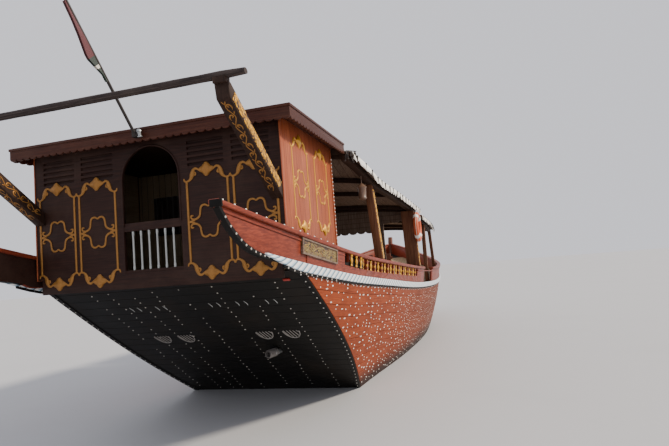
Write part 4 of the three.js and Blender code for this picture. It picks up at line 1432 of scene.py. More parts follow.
            piece = plank_between(
                side.node(f"sheer_strake_{number + 1}"), 16, place, 0.0055, 0.002, side.outward)
            fitted(piece, BULWARK)

    def wing_edge(self, side: Side) -> None:
        """Bends a black moulding with nails along the wing's curved lower edge.

        Args:
            side: The side of the boat.
        """
        lines = HullLines(stations=tuple((y, z, 0.0) for y, z in self.wing_foot))
        start, end = self.wing_foot[0][0], -0.25

        def place(u: float, v: float) -> Vector:
            """Gives the moulding's point at shares along and across it."""
            y = start + (end - start) * u
            slope = (lines.along(y + 0.01, 1) - lines.along(y - 0.01, 1)) / 0.02
            lean = hypot(1, slope)
            return LINES.on_side(
                side, y - slope / lean * 0.04 * v, lines.along(y, 1) - 0.002 + 0.04 / lean * v, 0.016)

        def foot(u: float, v: float) -> Vector:
            """Gives the point under the wing's lower edge."""
            y = start + (end - start) * u
            return LINES.on_side(side, y, lines.along(y, 1) - 0.007, 0.016 - 0.07 * v)

        def lining(u: float, v: float) -> Vector:
            """Gives the point on the boards on the wing's inner face, dark as painted shade."""
            y = start + 0.03 + (0.25 - start) * u
            low, high = lines.along(y, 1) + 0.004, LINES.rail_z(y) - 0.06
            return LINES.on_side(side, y, low + (high - low) * v, -0.052)

        sole = plank_between(side.node("wing_sole"), 44, foot, 0.006, 0.002, Vector((0, 0, -1)))
        fitted(sole, BLACK)
        # The wing's inner face is lined with boards darkened as painted shade.
        boards = plank_between(side.node("wing_lining"), 30, lining, 0.006, 0.002, -side.outward, rows=2)
        fitted(boards, SHADED_MAROON)
        tip = LINES.on_side(side, start, LINES.rail_z(start), 0)
        inner = 0.07 if side is Side.STARBOARD else 0.06
        cap = timber_block(
            side.node("wing_tip"), (tip.x - inner, tip.y - 0.026, self.wing_foot[0][1] - 0.006),
            (tip.x + 0.13 - inner, tip.y + 0.004, tip.z - 0.004), 0.01)
        fitted(cap, BLACK)

        piece = plank_between(side.node("wing_moulding"), 44, place, 0.0155, 0.004, side.outward)
        fitted(piece, BLACK)
        seed = turned("cap", [(-0.003, 0.013), (0.003, 0.012), (0.007, 0.006)], ORIGIN, UP, 7)
        places = [shape_at(place(i / 14, 0.5), side.outward) for i in range(1, 14)]
        y = -0.2
        while y < 1.2:
            places.append(shape_at(LINES.on_side(side, y, self.band_foot(y) - 0.017, 0.03), side.outward))
            y += 0.15
        fitted(scattered(side.node("moulding_nails"), seed, places), DULL_CAPS)

    def rail_lamps(self, side: Side) -> None:
        """Sets small white lamps along the outer edge of the wing's rail.

        Args:
            side: The side of the boat.
        """
        seed = turned("lamp", [(0, 0.01), (0.005, 0.011), (0.01, 0.008), (0.013, 0.003)], ORIGIN, UP, 9)
        places = []
        y = -1.42
        while y < 1.05:
            point = LINES.on_side(side, y, LINES.rail_z(y), 0) + Vector((side.value * 0.018, 0, -0.001))
            places.append(Matrix.Translation(point))
            y += 0.19
        fitted(scattered(side.node("rail_lamps"), seed, places), CAPS)

    def build(self) -> None:
        """Builds both sides."""
        for side in Side:
            self.sheer_strakes(side)
            self.wing_edge(side)
            self.rail_lamps(side)
            self.planking(side)
            self.nails(side)
            self.band(side)
            self.slot_inlay(side)
            self.balusters(side)
            self.upper_works(side)
        dressed("hull", TAR, 0.004)
        dressed("stem_post", BROWN, 0.02)


@dataclass(frozen=True)
class NamePlate:
    """The carved board on each side abreast of the cabin, its panel left without words."""

    ends: Pair = (0.15, 1.18)
    drops: Pair = (0.255, 0.06)
    frame: float = 0.022
    proud: float = 0.03

    def rim(self, side: Side, u: float, v: float, out: float) -> Vector:
        """Gives a point of the board.

        Args:
            side: The side of the boat.
            u: Share of its length.
            v: Share of its height, downwards.
            out: Distance from the bulwark.

        Returns:
            The point.
        """
        y = self.ends[0] + (self.ends[1] - self.ends[0]) * u
        high = LINES.rail_z(y) - self.drops[1]
        low = LINES.rail_z(y) - self.drops[0]
        return LINES.on_side(side, y, high + (low - high) * v, out)

    def build(self) -> None:
        """Builds the boards and their frames."""
        for side in Side:
            panel = plank_between(
                side.node("plate_panel"), 12, lambda u, v: self.rim(side, u, v, self.proud - 0.012),
                self.proud - 0.013, 0.002, side.outward)
            fitted(panel, CARVED_PLATE)
            long, wide = self.ends[1] - self.ends[0], self.drops[0] - self.drops[1]
            work = carved(side.node("plate_vine"), vine(long - 0.08, wide * 0.7), 0.5, 3)
            for vertex in work.data.vertices:
                x, out, z = vertex.co
                vertex.co = self.rim(side, (x + 0.04) / long, 0.5 - z / wide, self.proud - 0.014 - out)
            fitted(right_way_out(work), DULL_GOLD)
            share, end = self.frame / wide, self.frame / long
            bars = []
            for low_u, high_u, low_v, high_v in (
                    (0, 1, 0, share), (0, 1, 1 - share, 1), (0, end, 0, 1), (1 - end, 1, 0, 1)):
                def bar(u: float, v: float) -> Vector:
                    """Gives the bar's point at shares along and across it."""
                    along, down = low_u + (high_u - low_u) * u, low_v + (high_v - low_v) * v
                    return self.rim(side, along, down, self.proud)

                bars.append(plank_between("bar", 12, bar, self.proud - 0.001, 0.003, side.outward))
            fitted(joined(side.node("plate_frame"), bars), WORN)


@dataclass(frozen=True)
class SternFace:
    """The raked transom: tarred boards, rows of nails, half-round vents and the edge mouldings."""

    top: float = 2.2
    foot: float = -0.3
    board: float = 0.21
    gap: float = 0.006
    proud: float = 0.014
    nail_pitch: float = 0.14
    rows: tuple[Pair, ...] = (
        (1.47, 1.29), (1.07, 0.81), (0.61, 0.33), (0.09, -0.16), (-0.31, -0.6), (-0.66, -0.78),
        (-1.01, -1.05), (-1.29, -1.44))
    vents: tuple[float, ...] = (-0.99, -0.57, 0.755, 1.185)
    vent_z: float = 1.32
    marks: tuple[float, ...] = (0.39, 0.8, 1.23, -0.45, -0.87)
    mark_z: float = 1.8

    @property
    def down(self) -> Vector:
        """Gives the direction down the rake."""
        return Vector((0, LINES.stern_run, -1)).normalized()

    @property
    def out(self) -> Vector:
        """Gives the direction out of the stern's face."""
        return Vector((0, -1, -LINES.stern_run)).normalized()

    def at(self, x: float, z: float, out: float = 0.0) -> Vector:
        """Gives the face's point at a distance to starboard and a height, or out from it."""
        return Vector((x, LINES.stern_y(z), z)) + self.out * out

    def half(self, z: float) -> float:
        """Gives the face's half breadth at a height."""
        return LINES.half_breadth(LINES.stern_y(z), z)

    def boards(self) -> None:
        """Lays the boards across the face."""
        rise = self.board / hypot(1, LINES.stern_run)
        count = ceil((self.top - self.foot) / rise)
        parts = []
        for i in range(count):
            high = self.top - i * rise
            low = high - rise * (1 - self.gap / self.board)

            def place(u: float, v: float) -> Vector:
                """Gives the board's point at shares along and across it."""
                z = high + (low - high) * v
                return self.at((2 * u - 1) * self.half(z), z, self.proud)

            parts.append(plank_between(f"board_{i}", 14, place, self.proud - 0.001, 0.003, self.out))
        fitted(joined("stern_boards", parts), TAR)

    def nails(self) -> None:
        """Drives the nails in rows down the rake and along both edges."""
        seed = turned("cap", [(-0.004, 0.012), (0.003, 0.011), (0.0065, 0.006)], ORIGIN, UP, 7)
        dice = random.Random(5)
        rise = self.nail_pitch / hypot(1, LINES.stern_run)
        places = []
        z = self.top - 0.14
        while z > self.foot:
            share = (self.top - z) / self.top
            for high_x, low_x in self.rows:
                x = high_x + (low_x - high_x) * share + dice.uniform(-0.012, 0.012)
                if abs(x) < self.half(z) - 0.08 and dice.random() < 0.88:
                    places.append(shape_at(self.at(x, z + dice.uniform(-0.01, 0.01), self.proud), self.out,
                                           size=dice.uniform(0.7, 1.0)))
            for sign in (-1, 1):
                places.append(
                    shape_at(self.at(sign * (self.half(z) - 0.045), z, self.proud + 0.012), self.out))
            z -= rise
        fitted(scattered("stern_nails", seed, places), DULL_CAPS)

    def edges(self) -> None:
        """Fits a black moulding along each curved edge."""
        for side in Side:
            def place(u: float, v: float) -> Vector:
                """Gives the moulding's point at shares down and across it."""
                z = self.top - 0.02 + (self.foot - self.top) * u
                return self.at(side.value * (self.half(z) - 0.002 - 0.085 * v), z, self.proud + 0.012)

            piece = plank_between(side.node("stern_edge"), 30, place, 0.02, 0.006, self.out)
            fitted(piece, BLACK)

    def vent(self, x: float, number: int) -> None:
        """Fits one half-round vent with slanted slats.

        Args:
            x: Its distance to starboard.
            number: Its number.
        """
        half, deep = 0.128, 0.23
        rim = tuple((half * cos(a * pi / 8), -deep * sin(a * pi / 8), 0.008) for a in range(9))
        lines = [Stroke(rim)]
        for k in range(5):
            start = -half * 0.78 + k * 0.05
            low = -deep * max(1 - ((start + 0.03) / half) ** 2, 0.05) ** 0.5 * 0.92
            lines.append(Stroke(((start - 0.012, 0.02, 0.006), (start + 0.012, low * 0.5, 0.0085),
                                 (start + 0.03, low, 0.007))))
        slats = carved(f"vent_{number}", lines, 0.9, 4)
        slats.matrix_world = self.turn(x, self.vent_z, 0.006)
        fitted(settle(slats), GALVANISED)

    def hose(self) -> None:
        """Pushes a ribbed grey hose over the end of the exhaust pipe."""
        low, high = (Vector(corner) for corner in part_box("exhaust_pipe"))
        centre = (low + high) / 2
        radius = (high.x - low.x) / 2
        rings = [(0.0, radius + 0.004)]
        for i in range(9):
            rings += [(0.012 + i * 0.024, radius + 0.009), (0.024 + i * 0.024, radius + 0.004)]
        rings += [(0.23, radius * 0.86), (0.19, radius * 0.84), (0.12, radius * 0.82)]
        foot = Vector((centre.x, low.y + 0.09, centre.z))
        fitted(turned("exhaust_hose", rings, foot, Vector((-0.12, -1, 0.0)), 20), HOSE)

    def turn(self, x: float, z: float, out: float) -> Matrix:
        """Lays the plane of X and Z on the boards at a place, a distance out from them."""
        turn = Matrix((Vector((1, 0, 0)), -self.out, -self.down)).transposed().to_4x4()
        return Matrix.Translation(self.at(x, z, self.proud + out)) @ turn

    def build(self) -> None:
        """Builds the whole face."""
        self.boards()
        self.nails()
        self.edges()
        for number, x in enumerate(self.vents):
            self.vent(x, number + 1)
        lines = []
        for x in self.marks:
            for shift in (-0.062, 0.062):
                lines.append(Stroke(((x + shift - 0.012, 0.07, 0.004), (x + shift + 0.012, 0.005, 0.009),
                                     (x + shift + 0.002, -0.04, 0.005))))
        ticks = carved("stern_marks", lines, 0.5, 4)
        ticks.matrix_world = self.turn(0, self.mark_z, 0.001)
        fitted(settle(ticks), PALE)
        dressed("transom", TAR, 0.004)
        dressed("exhaust_pipe", STEEL, 0.004)
        self.hose()
        reflector = timber_block("edge_reflector", (-0.045, -0.02, -0.02), (0.045, 0.0, 0.02), 0.005)
        reflector.matrix_world = self.turn(1.64, 2.1, 0.0)
        fitted(settle(reflector), RED)


FRAME_SCROLL = (
    (0.095, 0.64, 0.012), (0.13, 0.674, 0.016), (0.172, 0.666, 0.019), (0.19, 0.63, 0.028),
    (0.2, 0.59, 0.034), (0.215, 0.55, 0.024), (0.245, 0.522, 0.014), (0.285, 0.512, 0.014),
    (0.316, 0.528, 0.013), (0.316, 0.556, 0.009))
FRAME_CURL = ((0.195, 0.6, 0.012), (0.16, 0.582, 0.014), (0.145, 0.608, 0.012), (0.163, 0.628, 0.009))
FRAME_BAR = ((0.28, 0.515, 0.016), (0.28, 0.3, 0.017), (0.28, 0.0, 0.017))
MEDALLION = (
    (0.0, 0.176, 0.011), (0.022, 0.198, 0.013), (0.066, 0.204, 0.014), (0.102, 0.182, 0.015),
    (0.113, 0.13, 0.014), (0.118, 0.075, 0.014), (0.145, 0.042, 0.015), (0.19, 0.024, 0.015),
    (0.228, 0.03, 0.013), (0.25, 0.056, 0.013), (0.238, 0.084, 0.012), (0.212, 0.072, 0.01))
MEDALLION_TIE = ((0.19, 0.018, 0.013), (0.235, 0.006, 0.013), (0.28, 0.0, 0.013))
BOSS = (
    ((0.0, -0.088, 0.016), (0.0, -0.062, 0.05), (0.0, 0.0, 0.08), (0.0, 0.062, 0.05), (0.0, 0.088, 0.016)),
    ((-0.106, 0.0, 0.016), (-0.074, 0.0, 0.042), (0.0, 0.0, 0.07), (0.074, 0.0, 0.042), (0.106, 0.0, 0.016)))


@dataclass(frozen=True)
class ScrollFrame:
    """One gilt frame of scrolls with a boss at each end and a medallion in the middle."""

    wide: float = 1.0
    tall: float = 1.0

    def strokes(self) -> list[Stroke]:
        """Mirrors the frame's strokes to its four quarters.

        Returns:
            All of the strokes.
        """
        quarter = [FRAME_SCROLL, FRAME_CURL, FRAME_BAR, MEDALLION, MEDALLION_TIE]
        lines = []
        for up in (-1, 1):
            for across in (-1, 1):
                for line in quarter:
                    lines.append(Stroke(tuple((across * x * self.wide, up * z * self.tall, half)
                                              for x, z, half in line)))
            for line in BOSS:
                lines.append(
                    Stroke(tuple((x * self.wide, up * 0.648 * self.tall + z, half) for x, z, half in line)))
        return lines

    def build(self, name: str, place: Matrix, finish: Enamel) -> None:
        """Carves the frame and sets it in its place.

        Args:
            name: The piece's name.
            place: Where it goes.
            finish: Its finish.
        """
        piece = carved(name, self.strokes(), 0.45)
        piece.matrix_world = place
        fitted(settle(piece), finish)


@dataclass(frozen=True)
class SternCabin:
    """The cabin on the stern: boarded walls with gilt scroll frames, the arch, louvres and door."""

    half: float = 1.8
    fore: float = 2.22
    deck: float = 2.25
    aft_frames: tuple[float, ...] = (-1.45, -0.81, 0.81, 1.45)
    aft_frame_z: float = 2.88
    side_frames: tuple[float, ...] = (0.69, 1.61)
    side_frame_z: float = 3.3
    arch_half: float = 0.42
    arch_spring: float = 3.505
    sill: float = 2.31
    sill_half: float = 1.728
    sticks: int = 6
    stick_pitch: float = 0.118
    window_x: float = 1.08
    curtain: Pair = (0.68, 0.66)

    def frames(self) -> None:
        """Sets the gilt frames on the aft wall and both side walls."""
        # The aft wall's frames take the gold darkened as painted shade; the side frames keep the plain gold.
        for number, x in enumerate(self.aft_frames):
            ScrollFrame(tall=0.985).build(
                f"aft_scroll_{number + 1}", Matrix.Translation((x, -0.0035, self.aft_frame_z)), SHADED_GOLD)
        side_frame = ScrollFrame(1.05, 0.87)
        for side in Side:
            turn = Matrix.Rotation(radians(90 * side.value), 4, "Z")
            for number, y in enumerate(self.side_frames):
                place = Matrix.Translation((side.value * self.half, y, self.side_frame_z)) @ turn
                side_frame.build(side.node(f"side_scroll_{number + 1}"), place, GOLD)

    def arch_trim(self) -> None:
        """Bends a moulding round the arch and turns the balusters under its hand rail."""
        count = 24
        bow = [(self.arch_half * cos(pi * i / count), self.arch_spring + self.arch_half * sin(pi * i / count),
                0.014) for i in range(count + 1)]
        foot = [(self.arch_half, self.sill + 0.6, 0.014), (self.arch_half, self.arch_spring - 0.3, 0.014)]
        line = foot + bow + [(-x, z, half) for x, z, half in reversed(foot)]
        # The arch moulding takes the maroon darkened as painted shade.
        fitted(carved("arch_moulding", [Stroke(tuple(line))], 0.8, 3), SHADED_MAROON)
        rings = [(0, 0.014), (0.03, 0.016), (0.06, 0.0122), (0.24, 0.0128), (0.42, 0.0122), (0.46, 0.016),
                 (0.495, 0.014)]
        seed = turned("stick", rings, ORIGIN, UP, 10)
        first = -(self.sticks - 1) / 2
        places = [Matrix.Translation(((first + i) * self.stick_pitch, 0.018, self.sill + 0.036))
                  for i in range(self.sticks)]
        fitted(scattered("arch_sticks", seed, places), PALE)
        # The balustrade takes the maroon darkened as painted shade.
        dressed("arch_balustrade", SHADED_MAROON, 0.005)

    def corner_trim(self) -> None:
        """Fits corner posts, a sill and a light-dotted trim at the forward edge."""
        for side in Side:
            half = self.half
            post = side_block(
                side.node("corner_post"), side, (half, -0.012, 2.3), (half + 0.012, 0.06, 4.045), 0.004)
            fitted(post, CABIN_SIDE)
            edge = side_block(side.node("edge_post"), side, (half, self.fore - 0.05, 2.32),
                              (half + 0.014, self.fore + 0.004, 4.07), 0.004)
            fitted(edge, CABIN_SIDE)
        seed = turned("stud", [(0, 0.011), (0.006, 0.009), (0.009, 0.004)], ORIGIN, UP, 7)
        places = [shape_at(Vector((side.value * (self.half + 0.014), self.fore - 0.024, 2.45 + 0.06 * i)),
                           side.outward) for side in Side for i in range(25)]
        fitted(scattered("edge_studs", seed, places), WHITE)
        # The sill takes the maroon darkened as painted shade.
        sill = timber_block(
            "aft_sill", (-self.sill_half, -0.004, 2.115), (self.sill_half, -0.0005, 2.3), 0.005)
        fitted(sill, SHADED_MAROON)

    def shutters(self) -> None:
        """Hangs a dark curtain inside each forward window and fits frames round the windows."""
        wide, tall = self.curtain
        for side in Side:
            middle = side.value * self.window_x

            def hang(u: float, v: float) -> Vector:
                """Gives the curtain's point at shares across and down it."""
                return Vector((middle + (u - 0.5) * wide, self.fore - 0.085 + 0.012 * sin(u * 40),
                               self.deck + 1.36 - tall * v))

            cloth = bent_grid(
                side.node("window_curtain"), 60, 10, hang, lambda u, v: Vector((u * wide, v * tall, 0)))
            modify(cloth, "SOLIDIFY", thickness=0.002, offset=0.0)
            pick(cloth)
            bpy.ops.object.shade_smooth()
            fitted(cloth, CURTAIN)
            bars = []
            for low, high in (((-0.34, 0.71), (0.34, 0.75)), ((-0.34, 1.3), (0.34, 1.34)),
                              ((-0.34, 0.75), (-0.3, 1.3)), ((0.3, 0.75), (0.34, 1.3))):
                bars.append(timber_block("bar", (middle + low[0], self.fore + 0.0003, self.deck + low[1]),
                                         (middle + high[0], self.fore + 0.016, self.deck + high[1]), 0.004))
            fitted(joined(side.node("window_frame"), bars), BROWN)

    def inner_boards(self) -> None:
        """Lines the cabin with pale boards under a dark ceiling, so that the arch isn't quite black."""
        for side in Side:
            x = self.half - 0.056
            board = side_block(
                side.node("cabin_lining"), side, (x, 0.06, 2.27), (x + 0.005, self.fore - 0.06, 4.03), 0.002)
            fitted(board, BIRCH)
        ceiling = timber_block("cabin_ceiling", (-1.73, 0.06, 4.034), (1.73, self.fore - 0.06, 4.044), 0.002)
        fitted(ceiling, DARK)
        panels = []
        for low_x, high_x, low_z, high_z in (
                (1.4, 1.73, 2.27, 4.02), (0.38, 0.76, 2.27, 4.02), (0.76, 1.4, 2.27, 2.98),
                (0.76, 1.4, 3.6, 4.02)):
            for side in (Side.PORT, Side.STARBOARD):
                panels.append(side_block("panel", side, (low_x, self.fore - 0.057, low_z),
                                         (high_x, self.fore - 0.0505, high_z), 0.002))
        fitted(joined("cabin_fore_lining", panels), BIRCH)

    def door_panels(self) -> None:
        """Adds raised panels to the door, which swing with it."""
        parts = []
        for low, high in ((0.12, 0.62), (0.9, 1.44)):
            parts.append(
                timber_block("panel", (-0.25, self.fore + 0.0075, self.deck + 0.025 + low),
                    (0.2, self.fore + 0.0145, self.deck + 0.025 + high), 0.006))
        fitted(joined("door_panels", parts), BROWN, "cabin_door")

    def build(self) -> None:
        """Builds the cabin."""
        # The aft and fore walls take the maroon darkened as painted shade.
        dressed("cabin_aft_wall", SHADED_MAROON, 0.003)
        dressed("cabin_fore_wall", SHADED_MAROON, 0.003)
        for side in Side:
            dressed(side.node("cabin_side_wall"), CABIN_SIDE, 0.004)
        dressed("cabin_door", BROWN, 0.004, "cabin_door")
        dressed("poop_deck", DECKING, 0.003)
        self.frames()
        self.arch_trim()
        self.corner_trim()
        self.shutters()
        self.inner_boards()
        self.door_panels()


@dataclass(frozen=True)
class RoofTrim:
    """The roof slab, its scalloped fascia boards and the battens on them."""

    half: float = 1.99
    aft: float = -0.16
    fore: float = 2.3
    top: float = 4.105
    rise: float = 0.04

    def roof_z(self, y: float) -> float:
        """Gives the roof's height at a distance forward."""
        return self.top + self.rise * (y - self.aft) / (self.fore - self.aft)

    def build(self) -> None:
        """Builds the roof."""
        dressed("cabin_roof", FASCIA, 0.008)
        dressed("roof_fascia", FASCIA, 0.004)
        for side in Side:
            x = side.value * (self.half + 0.03)

            def edge(u: float, v: float) -> Vector:
                """Gives the point on the batten's outer face."""
                y = self.aft - 0.034 + (self.fore - self.aft + 0.034) * u
                return Vector((x + side.value * 0.012, y, self.roof_z(y) + 0.004 - 0.034 * v))

            batten = plank_between(side.node("eave_batten"), 8, edge, 0.0115, 0.004, side.outward)
            fitted(batten, FASCIA)
        end = timber_block(
            "roof_end_board", (-self.half, self.fore + 0.0005, self.top - 0.115),
            (self.half, self.fore + 0.024, self.top + self.rise - 0.004), 0.004)
        fitted(end, DARK)
        stern = timber_block(
            "eave_batten_aft", (-self.half - 0.04, self.aft - 0.044, self.top - 0.03),
            (self.half + 0.04, self.aft - 0.0305, self.top + 0.004), 0.004)
        fitted(stern, FASCIA)


def vine(length: float, wide: float) -> list[Stroke]:
    """Draws a running vine with a curl in each bend.

    Args:
        length: Its length along X.
        wide: Its width.

    Returns:
        Its strokes.
    """
    step = 2.2 * wide
    count = max(2, round(length / step))
    step = length / count
    stem = tuple((i * step / 4, 0.3 * wide * sin(i * pi / 2), 0.055 * wide) for i in range(4 * count + 1))
    lines = [Stroke(stem)]
    for i in range(2 * count):
        x = (i + 0.5) * step / 2
        up = 1 if i % 2 == 0 else -1
        lines.append(Stroke(tuple((x + a * wide, up * b * wide, c * wide) for a, b, c in (
            (-0.35, -0.3, 0.03), (-0.1, -0.38, 0.06), (0.2, -0.25, 0.09), (0.25, 0.0, 0.09),
            (0.02, 0.06, 0.07), (-0.06, -0.12, 0.05)))))
        lines.append(Stroke(tuple((x + a * wide, up * b * wide, c * wide) for a, b, c in (
            (0.3, 0.2, 0.03), (0.45, 0.32, 0.09), (0.62, 0.36, 0.02)))))
    return lines


@dataclass(frozen=True)
class SternGear:
    """Davits with their gilt vines, the beam across them, the flagstaff and the furled flag."""

    davit_x: float = 1.725
    davit_half: float = 0.075
    spar_z: float = 4.115
    davit_foot: Pair = (0.0, 3.13)
    davit_head: Pair = (-1.29, 4.01)
    staff_foot: Point = (0, -0.235, 3.99)
    staff_head: Point = (0, -1.33, 5.24)
    flag_shares: Pair = (0.44, 0.99)
    pleats: int = 5

    def spar(self) -> None:
        """Hews the spar across the davit heads, uneven and a little flattened, and packs it up on chocks."""
        low, high = (Vector(corner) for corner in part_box("crossbeam"))
        dice = random.Random(21)
        steps = 16
        long = high.x - low.x
        rings = [(0.0, 0.044)] + [(long * i / steps, dice.uniform(0.05, 0.056)) for i in range(1, steps)]
        rings.append((long, 0.042))
        foot = Vector((low.x, (low.y + high.y) / 2, self.spar_z))
        piece = turned("crossbeam_spar", rings, foot, Vector((1, 0, 0)), 10)
        for vertex in piece.data.vertices:
            vertex.co.z = self.spar_z + (vertex.co.z - self.spar_z) * 0.72
        fitted(right_way_out(piece), BEAM, nodes=["crossbeam"])
        chocks = [
            timber_block("chock", (side.value * self.davit_x - 0.07, foot.y - 0.05, low.z - 0.02),
                (side.value * self.davit_x + 0.07, foot.y + 0.05, self.spar_z - 0.02), 0.006)
            for side in Side]
        fitted(joined("spar_chocks", chocks), DARK)

    def vines(self) -> None:
        """Carves the vines on the davits' outer, inner and lower faces."""
        run = Vector((0, self.davit_head[0] - self.davit_foot[0], self.davit_head[1] - self.davit_foot[1]))
        along = run.normalized()
        over = Vector((0, -along.z, along.y))
        start = Vector((0, *self.davit_foot)) + along * 0.1
        length = run.length - 0.24
        for side in Side:
            centre = Vector((side.value * self.davit_x, 0, 0)) + start
            outward = side.outward
            # The inner and lower faces take the gold darkened as painted shade.
            faces = (
                ("outer", outward, over, GOLD),
                ("inner", -outward, over, SHADED_GOLD),
                ("lower", over if over.z < 0 else -over, outward, SHADED_GOLD),
            )
            board = timber_block(side.node("davit_gilding"), (0, 0, -0.056), (length, 0.007, 0.056), 0.003)
            board.matrix_world = (Matrix.Translation(centre + outward * (self.davit_half + 0.007))
                                  @ Matrix((along, -outward, over)).transposed().to_4x4())
            fitted(right_way_out(settle(board)), CARVED_SIDE)
            for word, normal, across, finish in faces:
                piece = carved(side.node(f"davit_vine_{word}"), vine(length, 0.115), 0.55, 3)
                out = self.davit_half + (0.006 if word == "outer" else 0.0)
                turn = Matrix((along, -normal, across)).transposed().to_4x4()
                piece.matrix_world = Matrix.Translation(centre + normal * out) @ turn
                settle(piece)
                fitted(right_way_out(piece), finish)

    def flag(self) -> None:
        """Furls the flag in pleats under its staff."""
        foot, head = Vector(self.staff_foot), Vector(self.staff_head)
        line = (head - foot).normalized()
        under = Vector((0, -line.z, line.y))
        if under.z > 0:
            under = -under
        low, high = self.flag_shares
        long = (high - low) * (head - foot).length

        def furled(u: float, v: float) -> Vector:
            """Gives the cloth's point at shares up the staff and across the cloth.

            Args:
                u: Share up the staff.
                v: Share across the cloth.

            Returns:
                The point.
            """
            swell = min(1.0, max(0.0, u - 0.1) / 0.24) * min(1.0, (1.08 - u) / 0.68) ** 1.3
            turn = v * self.pleats * 2 * pi
            drop = 0.021 + (0.5 - 0.5 * cos(turn)) * (0.012 + 0.095 * swell)
            wave = (v - 0.5) * 0.034 + 0.004 * sin(turn * 0.5 + 9 * u)
            return foot + (head - foot) * (low + (high - low) * u) + under * drop + Vector((wave, 0, 0))

        cloth = bent_grid("flag_cloth", 60, 100, furled, lambda u, v: Vector((u * long, v, 0)))
        modify(cloth, "SOLIDIFY", thickness=0.0012, offset=0.0)
        pick(cloth)
        bpy.ops.object.shade_smooth()
        fitted(cloth, BUNTING, nodes=["flag"])

    def lamp(self) -> None:
        """Fits the small lamp at the staff's foot."""
        foot = Vector((0.07, self.staff_foot[1] - 0.02, self.staff_foot[2] - 0.02))
        rings = [(0, 0.03), (0.012, 0.032), (0.018, 0.02), (0.06, 0.022), (0.068, 0.034), (0.085, 0.03),
                 (0.1, 0.01)]
        fitted(turned("stern_lamp", rings, foot, Vector((0, -0.25, 1)), 16), STEEL)

    def build(self) -> None:
        """Builds the gear."""
        for side in Side:
            dressed(side.node("davit"), DARK, 0.008)
        self.spar()
        dressed("flagstaff", STAFF_PAINT, 0.003)
        self.vines()
        self.flag()
        self.lamp()


